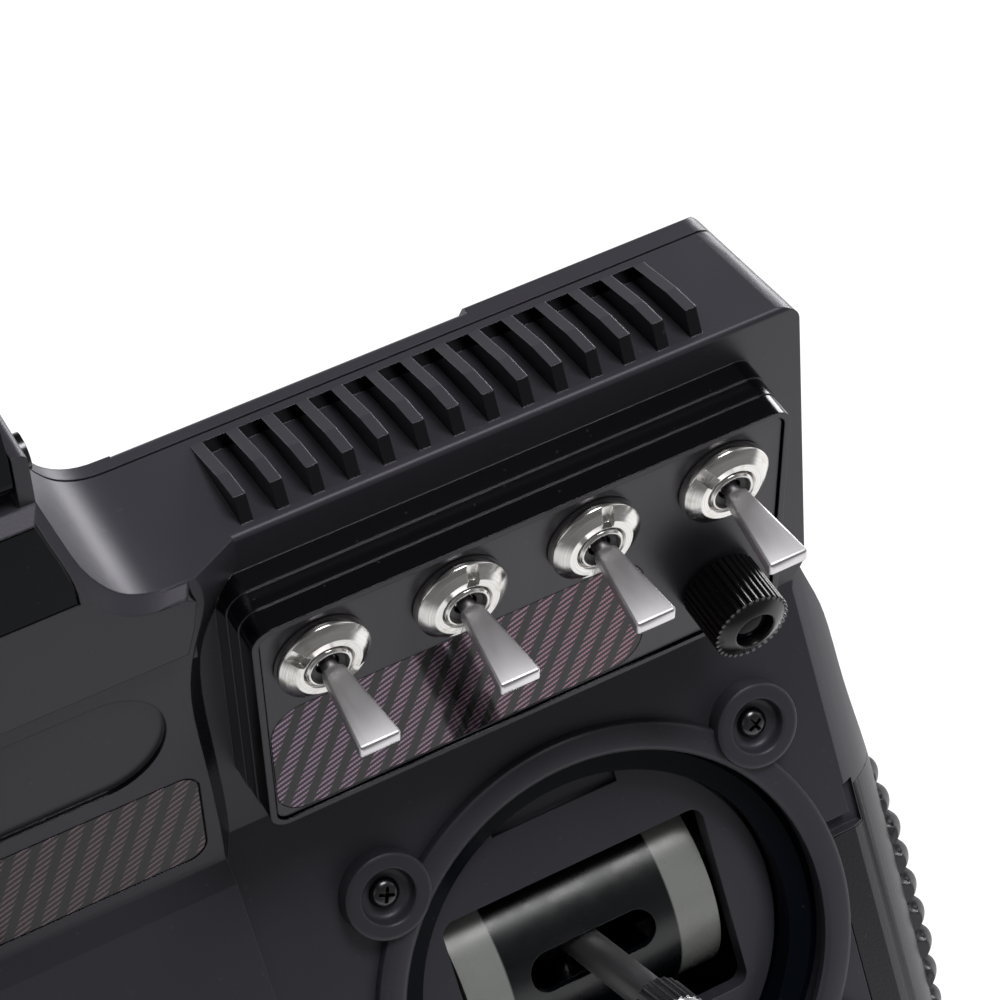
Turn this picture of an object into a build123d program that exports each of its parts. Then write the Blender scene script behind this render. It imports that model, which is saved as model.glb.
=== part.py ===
"""Two-stick radio transmitter: hand-held controller with banks of toggle switches.

Row frame in millimetres: X to the right, front face towards -Y, Z up.
The origin is the centre of the flat base.  The stick face stands upright and the
switch console above it leans forward by CONSOLE_TILT.
Points on the console are given as (x, v, n): x right, v up the console, n out of it.
Pieces that come in pairs are modelled on the right and mirrored.
"""
import os
from math import atan, cos, degrees, hypot, radians, sin

from build123d import *

# ---------------------------------------------------------------- housing
CONSOLE_TILT = 32.0          # lean of the switch console over the stick face, degrees
FACE_Y = -25.0               # stick face
BACK_Y = 25.0                # flat back
BEND_Z = 126.0               # height of the bend between stick face and console
BEND_V = -40.0               # the same bend in console coordinates
CONSOLE_N = -9.0             # console front skin
SHOULDER_V = 14.0            # flat shoulder on top of the console
CONSOLE_HALF = 107.9         # half width of the console at the shoulder
CONSOLE_FLARE = 0.082        # how fast the console widens downwards
CONSOLE_LEAN = 0.12          # how fast the console narrows towards the back
CONSOLE_EDGE = 3.0           # rounding along the ends of the shoulder
CONSOLE_END_V = -36.5        # lower end of the console's side walls
CREASE_HALF = 110.0          # half width of the stick face
CREASE_IN = 1.8              # how far the stick face narrows up to the bend
GRIP_HALF = 120.5            # half width over the bulged sides
SEAM_N = -25.5               # joint of the two housings, console part
SEAM_Y = -5.0                # joint of the two housings, body part
REAR_N = -27.4               # rear edge of the shoulder
REAR_EDGE = 1.0              # rounding of the rear edge
REAR_CORNER = 2.2            # rounding of the rear corners of the console
SEAM_GAP, SEAM_SINK = 0.3, 0.6      # open joint between the housings: width, depth
REAR_SLOPE_Z = 106.0         # where the rear slope meets the flat back
REAR_DROP, REAR_STEP = 9.0, 4.0     # short steep face behind the shoulder: height, depth
PAD_FROM, PAD_T = 72.4, 1.1         # thicker ends of the rear rim: start and thickness
WALL = 2.4                   # moulded wall
FIT = 0.3                    # gap between separate curved pieces
RUN = 0.05                   # radial running clearance of a shaft
CUT = 5.0                    # how far a cutting shape runs past what it cuts
BASE_REACH, BASE_CORNER = 9.5, 11.5  # rounding of the lower side corners: height, width
SIDE_OUTLINE = (             # side outline from the front: in from GRIP_HALF, height
    (8.9, 131.0), (7.7, 126.0), (5.3, 119.0), (4.5, 108.0), (2.3, 94.0),
    (0.5, 80.0), (0.1, 62.0), (2.5, 36.0), (8.1, BASE_REACH))

# ---------------------------------------------------------------- console block and panel
PANEL_LEFT, PANEL_RIGHT = 29.6, 101.4
PANEL_BOTTOM, PANEL_TOP = -29.55, 7.9
PANEL_CORNER, LEAST_CORNER = 2.6, 0.4
PANEL_T = 1.6
PANEL_LEDGE = 2.2            # ledge that carries the panel
PANEL_GAP = 0.25
RIM, RIM_RISE = 0.85, 0.35   # upstanding rim round the panel: width, height
BLOCK_STEPS = ((0.3, -5.85), (0.15, -3.0), (0.0, RIM_RISE))   # outgrowth and top level of each layer
INLAY = (30.9, 81.5, -28.1, -8.3)                             # left, right, bottom, top
INLAY_CORNER, INLAY_T, INLAY_GAP = 4.5, 0.35, 0.1

# ---------------------------------------------------------------- toggle switches
TOGGLE_X = (38.0, 56.0, 74.0, 92.0)
TOGGLE_SLOTS = (180.0, 90.0, 90.0, 130.0)                # spanner slot directions, degrees
BUSH_R, BUSH_TOP, BUSH_BORE, BUSH_FLOOR = 2.95, 2.9, 2.4, -3.0
NUT_R, NUT_BASE, NUT_TOP, NUT_RING_R = 6.0, 1.5, 2.6, 4.3
NUT_SLOT, NUT_SLOT_IN = 1.6, 0.9
LEVER_PIVOT_N = 0.4
LEVER_BARREL_R, LEVER_BARREL_L = 1.3, 2.6
LEVER_ROOT_N, LEVER_TIP_N = 0.4, 15.4
LEVER_ROOT = (2.5, 2.2)
LEVER_END = (5.3, 2.0)
SWITCH_BODY = (7.0, 8.6, 9.4)
SOLDER_TAG = (2.0, 0.8, 3.6)
TAG_PITCH = 3.2

# ---------------------------------------------------------------- rotary dials
DIAL_X, DIAL_V = 92.3, -19.8
DIAL_R, DIAL_H, DIAL_CHAMFER = 5.25, 9.2, 0.9
DIAL_DISH_R, DIAL_DISH = 2.7, 1.8
DIAL_SHAFT_R, DIAL_SHAFT_END = 1.6, -6.4
DIAL_BUSH_R, DIAL_BUSH_TOP = 3.2, 1.6
DIAL_CAN_R, DIAL_CAN_END = 5.6, -10.0

# ---------------------------------------------------------------- shoulder fins
FIN_COUNT, FIN_PITCH, FIN_FIRST_X, FIN_T = 14, 4.57, 34.2, 1.55
FIN_PROFILE = ((-16.5, 16.4), (-12.0, 17.2))             # crest of a fin as (n, v)
FIN_BACK, FIN_FRONT = -24.1, -10.4                       # ends of the fins on the shoulder
FIN_WELL = 2.5                                           # depth of the well behind the fins

# ---------------------------------------------------------------- centre column and tower
COLUMN_N = -6.0              # lower field of the column
TOWER_N = -4.4               # front of the tower
TOWER_TOP_V = 36.0
BAND_N, BAND_IN = -6.2, 1.2  # bevelled band round the tower front: start, set-in
TOWER_FLANK = ((25.5, SHOULDER_V), (20.7, 14.5), (17.9, 16.1), (15.7, 18.8), (13.9, 22.3),
               (12.5, 26.6), (11.4, 30.7), (10.0, TOWER_TOP_V))
COLUMN_FRONT = ((26.3, SHOULDER_V), (27.0, 9.0), (25.3, 2.6), (24.2, -2.8), (23.9, -7.0), (24.3, -16.0),
                (25.2, -30.6), (25.3, -44.0))
COLUMN_FOOT = ((32.4, SHOULDER_V), (32.2, 9.4), (28.8, 2.6), (26.9, -2.8), (26.4, -7.0), (26.5, -16.0),
               (27.3, -30.6), (27.2, -44.0))
LEDGE_V, LEDGE_HALF = 3.5, 23.8
LEDGE_RIGHT = ((24.9, 7.5), (25.6, 12.0))
INSERT_LOW = 19.4
INSERT_RIGHT = ((12.3, INSERT_LOW), (12.2, 21.5), (11.1, 27.0), (10.0, 31.0), (9.1, 34.6))
INSERT_T, INSERT_SINK = 0.7, 0.1
BADGE = (40.8, 16.8, -9.5, 0.7)                          # width, height, centre v, depth
LABEL = (-23.2, 23.2, -37.5, -21.2)                      # left, right, bottom, top
LABEL_CORNER, LABEL_T, LABEL_GAP = 2.6, 0.55, 0.25
FIELD_HALF, FIELD_RISE, FIELD_FOOT_Z = 25.6, 3.0, 48.0   # raised field between the sticks

# ---------------------------------------------------------------- aerial
ARM_PIVOT_V, ARM_PIVOT_N, ARM_KNUCKLE = 40.2, -10.0, 3.7
ARM_HALF, ARM_TIP_V = 7.9, 109.8
ARM_EDGE = ((7.4, 52.0), (6.8, 80.0), (6.0, 104.0))
ARM_PIN_R, ARM_PIN_L, ARM_PIN_HEAD_R, ARM_PIN_HEAD = 1.5, 20.0, 2.1, 0.8
ARM_EAR_HALF, ARM_EAR_TOP = 10.0, 43.6

# ---------------------------------------------------------------- sticks
STICK_X, STICK_Z = 71.4, 84.3
BEZEL_R, BEZEL_WIDTH, BEZEL_H, BEZEL_EDGE = 34.9, 4.0, 1.6, 0.5
BEZEL_BORE = BEZEL_R - BEZEL_WIDTH
EAR_DX, EAR_DZ, EAR_R, EAR_H = 27.6, 25.5, 6.0, 2.8
EAR_BORE_R, EAR_FLOOR = 3.7, 0.6
SCREW_R, SCREW_HOLE_R, SCREW_HEAD_R, SCREW_HEAD = 1.25, 1.3, 2.1, 1.3
CUP_R, CUP_DEPTH, CUP_WALL = BEZEL_BORE - 0.6, 40.0, 2.1
CUP_FLANGE, CUP_FLANGE_T = 3.5, 2.0
CUP_LIP, CUP_LIP_TOP, CUP_LIP_BASE = 3.1, -1.8, -7.6
DISC_T, DISC_GAP = 1.4, 0.3
WINDOW_W, WINDOW_H, WINDOW_CORNER = 40.0, 28.0, 2.0
DISC_NOTCH = (9.5, 24.3, 1.7)                            # width, distance, half height
GIMBAL_H = -23.0             # gimbal centre behind the stick face
YOKE_R, YOKE_T, YOKE_HALF, YOKE_REACH = 15.4, 1.3, 19.0, 13.4
YOKE_SLOT = (9.6, 3.0)
YOKE_PIN_R, YOKE_PIN_END = 2.0, 29.0
YOKE_BAR = (9.0, 12.0, 3.0)                              # inner, outer, half height
STICK_R, STICK_TOP = 2.5, 26.0
STICK_PIN_R, STICK_PIN_L = 1.3, 24.4
STICK_HUB_R, STICK_HUB_L = 4.0, 10.0
CAP_R, CAP_LOW, CAP_TOP, CAP_EDGE = 3.7, 12.0, 30.0, 0.8

# ---------------------------------------------------------------- side grips
GRIP_LOW, GRIP_FLANGE_TOP, GRIP_TOP = 34.0, 88.3, 94.0
GRIP_FLANGE_IN, GRIP_TOP_OUT = 4.2, 1.9
GRIP_GAP = 0.15
GRIP_PAD = 1.6               # thickness of the rubber on its seat
BUMP_COUNT, BUMP_PITCH, BUMP_TOP_Z = 12, 4.7, 89.3
BUMP_R, BUMP_PROUD, BUMP_FRONT, BUMP_BACK = 3.2, 1.7, -14.0, -7.6
BUMP_NOSE, BUMP_NOSE_L = 1.4, 2.4
NOTCH = (105.8, 109.7, 111.6, 88.6, 91.0, 95.2, 1.7)     # three widths, three heights, depth

# ---------------------------------------------------------------- lower front
DISPLAY_W, DISPLAY_H, DISPLAY_Z = 58.0, 30.0, 30.0
DISPLAY_FRAME, DISPLAY_RISE, DISPLAY_LEDGE = 4.0, 1.4, 2.0
GLASS_GAP, GLASS_T = 0.2, 1.1
KEY_R, KEY_RISE, KEY_FLANGE, KEY_EDGE = 4.0, 1.3, 1.2, 0.4
KEYS = ((-43.0, 37.0), (-43.0, 23.0), (43.0, 37.0), (43.0, 23.0))
TRIM_W, TRIM_H, TRIM_RISE, TRIM_FOOT_T = 5.0, 3.2, 3.5, 1.2
TRIM_TRAVEL = 3.0
TRIM_PLACES = ((STICK_X - BEZEL_R - 6.6, STICK_Z - 12.0, False),
               (STICK_X, STICK_Z - BEZEL_R - 8.5, True))
EYELET_Z, EYELET_R, EYELET_BORE_R, EYELET_T, EYELET_REACH = 77.0, 5.2, 2.7, 2.4, 8.6
LED_Z, STUD_R, STUD_BORE_R = 88.0, 1.58, 1.6
POWER_Z, POWER_TRAVEL = 60.0, 5.0
POWER_KNOB = (2.3, 3.1, 4.6)                             # half width, half height, rise
POWER_FOOT = (5.0, 7.0)
POWER_CASE = (6.5, 9.0, 11.0)

# ---------------------------------------------------------------- rear side
HUMP_HALF, HUMP_TOP, HUMP_Y, HUMP_CORNER = 42.0, 92.0, 38.0, 5.0
BAY_HALF, BAY_LOW, BAY_HIGH, BAY_FLOOR_Y = 33.0, 16.0, 76.0, 20.5
COVER_T, COVER_LIP, COVER_GAP, COVER_PROUD = 1.8, 3.0, 0.2, 0.4
CELL_COUNT, CELL_R, CELL_L, CELL_CAP_R, CELL_CAP = 4, 7.1, 49.5, 2.6, 1.5
CELL_GAP, CELL_FOOT = 1.6, 4.5
BOARD_FRONT, BOARD_BACK, BOARD_HALF, BOARD_LOW, BOARD_HIGH = 4.0, 5.6, 33.0, 8.0, 104.0
POST_PLACES = ((-28.0, 20.0), (28.0, 20.0), (-28.0, 72.0), (28.0, 72.0))
POST_HALF = 2.5
CASE_SCREWS = ((96.0, 15.0), (98.0, 46.0), (56.0, 12.0))
CASE_HEAD_R, CASE_HEAD, CASE_BORE_R, CASE_SCREW_R, CASE_SCREW_L = 2.8, 1.4, 3.2, 1.35, 9.5
BOSS_R, BOSS_L, BOSS_HOLE_R = 3.8, 9.4, 1.4
JACK_X, JACK_Z, JACK_R, JACK_BORE_R, JACK_L = -70.0, 30.0, 4.0, 2.75, 9.0
JACK_FLANGE_R, JACK_FLANGE, JACK_BODY = 6.0, 4.6, 11.0

C, S = cos(radians(CONSOLE_TILT)), sin(radians(CONSOLE_TILT))


def console_yz(v, n):
    """(y, z) of a console point."""
    along, out = v - BEND_V, n - CONSOLE_N
    return FACE_Y - along * S - out * C, BEND_Z + along * C - out * S


CONSOLE = Plane(origin=(0, *console_yz(0, 0)), x_dir=(1, 0, 0), z_dir=(0, -C, -S))
FRONT = Plane(origin=(0, FACE_Y, 0), x_dir=(1, 0, 0), z_dir=(0, -1, 0))


def degrees_of(slope):
    """Angle of a slope, in degrees."""
    return degrees(atan(slope))


def on_console(shape):
    return CONSOLE.location * shape


def on_front(shape):
    return FRONT.location * shape


def left_of(shape):
    return mirror(shape, about=Plane.YZ)


def both(shape):
    """The right-hand shape with its mirror image."""
    return shape + left_of(shape)


def group(shapes):
    return Compound(children=list(shapes))


def save(shape, name):
    shape.label = name
    export_step(shape, f"parts/{name}.step")


def save_pair(shape, name):
    save(shape, f"{name}_right")
    save(left_of(shape), f"{name}_left")


def save_group(shapes, name):
    """Right-hand solids and their mirror images as one node of separate solids."""
    save(group(shapes + [left_of(shape) for shape in shapes]), name)


def slab(x0, x1, y0, y1, z0, z1):
    """Box between two corners."""
    centre = Pos((x0 + x1) / 2, (y0 + y1) / 2, (z0 + z1) / 2)
    return centre * Box(x1 - x0, y1 - y0, z1 - z0)


def plate(x0, x1, y0, y1, z0, z1, corner):
    """Box with rounded upright corners."""
    face = Pos((x0 + x1) / 2, (y0 + y1) / 2, z0) * RectangleRounded(x1 - x0, y1 - y0, corner)
    return extrude(face, amount=z1 - z0, dir=(0, 0, 1))


def rod(r, z0, z1, x=0.0, y=0.0):
    """Upright cylinder."""
    return Pos(x, y, (z0 + z1) / 2) * Cylinder(r, z1 - z0)


def axle(r, length, x=0.0, y=0.0, z=0.0):
    """Cylinder lying along X, centred on the given point."""
    return Pos(x, y, z) * Rot(0, 90, 0) * Cylinder(r, length)


def bolt(r, y0, y1, x, z):
    """Cylinder lying along Y."""
    return Pos(x, (y0 + y1) / 2, z) * Rot(90, 0, 0) * Cylinder(r, y1 - y0)


def prism(points, half):
    """Closed (y, z) outline pushed both ways along X."""
    face = make_face(Polyline(*[(0, y, z) for y, z in points], close=True))
    return extrude(face, amount=half, dir=(1, 0, 0), both=True)


def console_prism(outline, x0, x1):
    """Closed (n, v) outline pushed along X from x0 to x1, in console coordinates."""
    face = make_face(Polyline(*[(x0, v, n) for n, v in outline], close=True))
    return extrude(face, amount=x1 - x0, dir=(1, 0, 0))


def revolved(points):
    """(r, h) outline turned about the Z axis."""
    face = make_face(Polyline(*[(r, 0, h) for r, h in points], close=True))
    return revolve(face, axis=Axis.Z)


def symmetric_face(right, low, high):
    """Face between a right-hand curve from (x, high) to (x, low) and its mirror image."""
    start, end = right @ 0, right @ 1
    edges = [right, Line((0, high), start), Line(end, (0, low))]
    edges += [mirror(edge, about=Plane.YZ) for edge in edges]
    return make_face(Curve() + edges)


# ---------------------------------------------------------------- outer body
def side_profile(inset):
    """Side view outline of the body, pulled in by the wall on request."""
    front_edge, step_edge, slope_edge, base_front, base_back = 0.7, 6.0, 16.0, 1.5, 3.4
    corners = [((FACE_Y, 0), base_front),
               ((FACE_Y, BEND_Z), 0.0),
               (console_yz(SHOULDER_V, CONSOLE_N), front_edge),
               (console_yz(SHOULDER_V, REAR_N), REAR_EDGE),
               (console_yz(SHOULDER_V - REAR_DROP, REAR_N - REAR_STEP), step_edge),
               ((BACK_Y, REAR_SLOPE_Z), slope_edge),
               ((BACK_Y, 0), base_back)]
    face = make_face(Polyline(*[(0, y, z) for (y, z), _ in corners], close=True))
    for (y, z), radius in corners:
        if radius:
            corner = face.vertices().sort_by_distance((0, y, z))[0]
            face = fillet(corner, radius)
    if inset:
        face = offset(face, amount=-inset, kind=Kind.INTERSECTION)
    return extrude(face, amount=GRIP_HALF + CUT, dir=(1, 0, 0), both=True)


def console_half(v, n=CONSOLE_N):
    """Half width of the console at height v and depth n."""
    return CONSOLE_HALF + (SHOULDER_V - v) * CONSOLE_FLARE + (n - CONSOLE_N) * CONSOLE_LEAN


def console_outline(n, inset):
    """Console seen along its own normal, cut at depth n."""
    deep_v, crease_v = BEND_V - 130.0, BEND_V - 5.0
    top, end = console_half(SHOULDER_V, n) - inset, console_half(CONSOLE_END_V, n) - inset
    crease = CREASE_HALF - CREASE_IN - inset
    low = min(crease, end)
    right = [(top, SHOULDER_V), (end, CONSOLE_END_V), (low, crease_v), (low, deep_v)]
    face = make_face(Polyline(*right, *[(-x, v) for x, v in reversed(right)], close=True))
    return Pos(0, 0, n) * fillet(face.vertices().sort_by(Axis.Y)[-2:], CONSOLE_EDGE)


def rear_corner_cut():
    """Rounds the rear corner of the shoulder, along the steep face behind it."""
    r, far, length = REAR_CORNER, 4.0, hypot(REAR_DROP, REAR_STEP)
    corner = slab(-r, far, -length, 2, -far, r)
    corner -= slab(-r, 0, -length - 1, 3, 0, r) & (Pos(-r, 0, r) * Rot(90, 0, 0) * Cylinder(r, 4 * length))
    tilt = degrees_of(REAR_STEP / REAR_DROP)
    place = Pos(console_half(SHOULDER_V, REAR_N), SHOULDER_V, REAR_N - PAD_T) * Rot(tilt, 0, 0)
    return on_console(place * Rot(0, 0, degrees_of(CONSOLE_FLARE)) * corner)


def console_block(inset):
    """Console with flared sides that lean in towards the back, and rounded shoulders."""
    front_n, lean_end, back_n = CUT, REAR_N - REAR_STEP, -BACK_Y - 70.0
    near, far = console_outline(front_n, inset), console_outline(lean_end, inset)
    block = loft([near, far], ruled=True) + extrude(far, amount=lean_end - back_n, dir=(0, 0, -1))
    foot = console_half(CONSOLE_END_V) - inset
    back, corner, ceiling = BACK_Y - inset + 2.0, 16.0, 220.0
    plan = plate(-foot - CUT, foot + CUT, back - ceiling, back, -CUT, ceiling, corner)
    return on_console(block) & plan


def bulged_sides(inset):
    """Stick body seen from above, trimmed by its outline seen from the front."""
    front, back = FACE_Y + inset, BACK_Y - inset
    crease, wide = CREASE_HALF - inset, GRIP_HALF - inset
    over, cheek, reach = 3.0, 17.0, 18.0
    bow = (crease + 0.705 * (wide - crease), front + 0.39 * cheek)
    right = [Line((0, front - over), (crease, front - over)),
             Line((crease, front - over), (crease, front)),
             ThreePointArc((crease, front), bow, (wide, front + cheek)),
             Line((wide, front + cheek), (wide, back - reach)),
             ThreePointArc((wide, back - reach), (wide - 5.0, back - 6.5), (wide - cheek, back + over)),
             Line((wide - cheek, back + over), (0, back + over))]
    section = make_face(Curve() + right + [mirror(edge, about=Plane.YZ) for edge in right])
    body = extrude(section, amount=BEND_Z + CUT + WALL, dir=(0, 0, 1))
    spline = Spline(*[(GRIP_HALF - away - inset, z) for away, z in SIDE_OUTLINE])
    top_z = SIDE_OUTLINE[0][1]
    end_x = GRIP_HALF - SIDE_OUTLINE[-1][0] - inset
    corner = ThreePointArc((end_x, BASE_REACH), (end_x - 0.4 * BASE_CORNER, 0.31 * BASE_REACH),
                           (end_x - BASE_CORNER, 0))
    halves = [Line((0, top_z), spline @ 0), spline, corner, Line((end_x - BASE_CORNER, 0), (0, 0))]
    outline = make_face(Curve() + halves + [mirror(edge, about=Plane.YZ) for edge in halves])
    return body & extrude(Plane.XZ.location * outline, amount=2 * BACK_Y + CUT, both=True)


def envelope(inset=0.0):
    """Whole outer body as one solid."""
    return side_profile(inset) & (console_block(inset) + bulged_sides(inset))


SEAM_LOW_V = BEND_V - (SEAM_Y - FACE_Y + (SEAM_N - CONSOLE_N) * C) / S


def front_region():
    """Everything ahead of the joint of the two housings."""
    far, high_v = 200.0, 90.0
    corner = console_yz(SEAM_LOW_V, SEAM_N)
    high = console_yz(high_v, SEAM_N)
    return prism([(SEAM_Y, -CUT), corner, high, (-far, high[1]), (-far, -CUT)], far)


# ---------------------------------------------------------------- console details
def block_layer(grow, low, high):
    """One layer of the block, outgrown or pulled in from the panel's outline."""
    corner = max(PANEL_CORNER + grow, LEAST_CORNER)
    return plate(PANEL_LEFT - grow, PANEL_RIGHT + grow, PANEL_BOTTOM - grow, PANEL_TOP + grow,
                 low, high, corner)


def switch_block():
    """Layered block that lifts the switch panel off the console."""
    block = None
    for grow, level in BLOCK_STEPS:
        layer = block_layer(grow, CONSOLE_N - WALL, level)
        block = layer if block is None else block + layer
    hollow = block_layer(-WALL, CONSOLE_N - WALL - CUT, -PANEL_T - WALL)
    return on_console(block - hollow)


def switch_block_cuts():
    """Seat and window of the switch panel."""
    seat = block_layer(-RIM, -PANEL_T, CUT)
    window = block_layer(-RIM - PANEL_LEDGE, CONSOLE_N - 2 * CUT, CUT)
    return on_console(seat + window)


def fin_row_end():
    return FIN_FIRST_X + (FIN_COUNT - 1) * FIN_PITCH + FIN_T


def fin_bed():
    """Thicker skin under the well of the fins."""
    low = SHOULDER_V - FIN_WELL - WALL
    outline = [(SEAM_N + FIT, low), (SEAM_N + FIT, SHOULDER_V - 1), (CONSOLE_N - 1, SHOULDER_V - 1),
               (CONSOLE_N - 1, low)]
    return on_console(console_prism(outline, FIN_FIRST_X - WALL, fin_row_end() + WALL))


def fin_well():
    """Wedge-shaped well between the fins, deepest at the back."""
    high = SHOULDER_V + CUT
    outline = [(FIN_BACK, high), (FIN_BACK, SHOULDER_V - FIN_WELL), (FIN_FRONT, SHOULDER_V), (FIN_FRONT, high)]
    return on_console(console_prism(outline, FIN_FIRST_X + FIN_T / 2, fin_row_end() - FIN_T / 2))


def fins():
    """Row of curved fins that rise out of the shoulder."""
    root = SHOULDER_V - FIN_WELL
    outline = [(FIN_BACK - 0.1, root - 0.1), (FIN_BACK - 0.1, SHOULDER_V), *FIN_PROFILE,
               (FIN_FRONT, SHOULDER_V), (FIN_FRONT, root - 0.1)]
    starts = [FIN_FIRST_X + i * FIN_PITCH for i in range(FIN_COUNT)]
    return [on_console(console_prism(outline, x, x + FIN_T)) for x in starts]


# ---------------------------------------------------------------- centre column and tower
def tower_face(set_in=0.0):
    """Tower with hollow flanks that run out into the shoulder, seen along the console normal."""
    flank = Spline(*[(x - set_in, v - set_in) for x, v in TOWER_FLANK],
                   tangents=((-1, 0), (-0.25, 1)))
    foot_x, foot_v = TOWER_FLANK[0][0] - set_in, 0.0
    top_x, top_v = TOWER_FLANK[-1][0] - set_in, TOWER_TOP_V - set_in
    right = [flank, Line((foot_x, SHOULDER_V - set_in), (foot_x, foot_v)), Line((foot_x, foot_v), (0, foot_v)),
             Line((0, top_v), (top_x, top_v))]
    return make_face(Curve() + right + [mirror(edge, about=Plane.YZ) for edge in right])


def column_face(points):
    return symmetric_face(Spline(*points), points[-1][1], points[0][1])


def column():
    """Raised column whose sides slope down to the console."""
    skirt = extrude(Pos(0, 0, CONSOLE_N - WALL) * column_face(COLUMN_FOOT), amount=WALL, dir=(0, 0, 1))
    slope = loft([Pos(0, 0, CONSOLE_N) * column_face(COLUMN_FOOT),
                  Pos(0, 0, COLUMN_N) * column_face(COLUMN_FRONT)], ruled=True)
    return skirt + slope


def tower_front_face(set_in):
    """Tower front down to its ledge over the column."""
    flank = Spline(*[(x - set_in, v - set_in) for x, v in TOWER_FLANK], tangents=((-1, 0), (-0.25, 1)))
    foot = Polyline((0, LEDGE_V), (LEDGE_HALF, LEDGE_V), *LEDGE_RIGHT, flank @ 0)
    top_x, top_v = TOWER_FLANK[-1][0] - set_in, TOWER_TOP_V - set_in
    right = [foot, flank, Line((top_x, top_v), (0, top_v))]
    return make_face(Curve() + right + [mirror(edge, about=Plane.YZ) for edge in right])


def tower_front():
    """Front of the tower with a bevelled band along its flanks."""
    root = extrude(Pos(0, 0, BAND_N - 1) * tower_front_face(0.05), amount=1.0, dir=(0, 0, 1))
    return root + loft([Pos(0, 0, BAND_N) * tower_front_face(0.05),
                        Pos(0, 0, TOWER_N) * tower_front_face(BAND_IN)], ruled=True)


def seam_groove():
    """Open joint between the two housings, over the shoulder and up the tower."""
    top = slab(TOWER_FLANK[0][0] - 0.5, 2 * CONSOLE_HALF, SHOULDER_V - SEAM_SINK, SHOULDER_V + 1,
               SEAM_N - 1, SEAM_N + SEAM_GAP)
    side = Pos(console_half(SHOULDER_V, SEAM_N) - SEAM_SINK, SHOULDER_V, SEAM_N) * (
        Rot(0, 0, degrees_of(CONSOLE_FLARE)) * slab(0, CUT, -4 * CUT, 1, -1, SEAM_GAP))
    ring = tower_face() - tower_face(SEAM_SINK)
    cove = extrude(Pos(0, 0, SEAM_N - 1) * ring, amount=1 + SEAM_GAP, dir=(0, 0, 1))
    cove &= slab(-TOWER_FLANK[0][0], TOWER_FLANK[0][0], SHOULDER_V - SEAM_SINK, 2 * TOWER_TOP_V, SEAM_N - 2, 0)
    return on_console(both(top) + both(side) + cove)


def column_and_tower():
    tower = extrude(Pos(0, 0, SEAM_N) * tower_face(), amount=BAND_N - SEAM_N, dir=(0, 0, 1))
    whole = column() + tower + tower_front()
    ear_low, ear_back, ear_front = TOWER_TOP_V - 1.0, ARM_PIVOT_N - 3.6, ARM_PIVOT_N + 3.6
    ears = plate(-ARM_EAR_HALF, ARM_EAR_HALF, ear_low, ARM_EAR_TOP, ear_back, ear_front, 1.0)
    ears -= slab(-ARM_HALF - FIT, ARM_HALF + FIT, TOWER_TOP_V, ARM_EAR_TOP + CUT, ear_back - CUT, 0)
    return on_console(whole + ears - axle(ARM_PIN_R, 4 * ARM_EAR_HALF, 0, ARM_PIVOT_V, ARM_PIVOT_N))


def insert_face(shrink):
    """Outline of the glossy insert on the tower front."""
    points = [(x - shrink, v) for x, v in INSERT_RIGHT]
    points[0] = (points[0][0], INSERT_LOW + shrink)
    points[-1] = (points[-1][0], points[-1][1] - shrink)
    right = [Spline(*points), Line((0, points[0][1]), points[0]), Line(points[-1], (0, points[-1][1]))]
    return make_face(Curve() + right + [mirror(edge, about=Plane.YZ) for edge in right])


def insert_seat():
    seat = Pos(0, 0, TOWER_N - INSERT_T - INSERT_SINK) * insert_face(0.0)
    return on_console(extrude(seat, amount=CUT, dir=(0, 0, 1)))


def tower_insert():
    seat = Pos(0, 0, TOWER_N - INSERT_T - INSERT_SINK) * insert_face(FIT)
    return on_console(extrude(seat, amount=INSERT_T, dir=(0, 0, 1)))


def badge_pocket():
    """Shallow stadium recess, left plain."""
    width, height, middle, depth = BADGE
    face = Pos(0, middle, COLUMN_N - depth) * RectangleRounded(width, height, height / 2 - 0.1)
    return on_console(extrude(face, amount=CUT, dir=(0, 0, 1)))


def centre_label(gap=0.0, rise=0.0):
    x0, x1, v0, v1 = LABEL
    sink = 0.05
    low = COLUMN_N - LABEL_T - sink
    return on_console(plate(x0 - gap, x1 + gap, v0 - gap, v1 + gap, low, low + LABEL_T + rise,
                            LABEL_CORNER + gap))


def lower_field():
    """Raised field between the sticks, below the column."""
    y0, z0 = console_yz(BEND_V - 1.0, COLUMN_N)
    front = FACE_Y - FIELD_RISE
    points = [(FACE_Y + 1, BEND_Z + 4), (y0, z0 + 1.2), (front, BEND_Z - 5.5), (front, FIELD_FOOT_Z + 4),
              (FACE_Y - 0.01, FIELD_FOOT_Z), (FACE_Y + 1, FIELD_FOOT_Z)]
    return prism(points, FIELD_HALF)


# ---------------------------------------------------------------- front housing
def ear_places():
    return tuple((sx * EAR_DX, sz * EAR_DZ) for sx in (-1, 1) for sz in (-1, 1))


def stick_cut():
    """Opening for a stick and the holes of its four screws."""
    holes = rod(BEZEL_BORE + FIT + 0.2, -8, 10, STICK_X, STICK_Z)
    for x, z in ear_places():
        holes += rod(SCREW_HOLE_R, -12, 10, STICK_X + x, STICK_Z + z)
    return on_front(holes)


def trim_slot(x, z, turned):
    wide, run = TRIM_W + 2 * FIT, 2 * TRIM_TRAVEL + TRIM_H + 1.0
    size = (run, wide) if turned else (wide, run)
    return on_front(Pos(x, z, 0) * Box(*size, 4 * WALL))


def grip_region(gap):
    """Space taken by the rubber side grip."""
    out, front, back = GRIP_HALF + 4 * CUT, FACE_Y - 3 * CUT, SEAM_Y - WALL + gap
    flange = slab(CREASE_HALF - GRIP_FLANGE_IN - gap, out, front, back, GRIP_LOW - gap, GRIP_FLANGE_TOP + gap)
    upper = slab(CREASE_HALF + GRIP_TOP_OUT - gap, out, front, back, GRIP_FLANGE_TOP - CUT, GRIP_TOP + gap)
    return flange + upper


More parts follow.
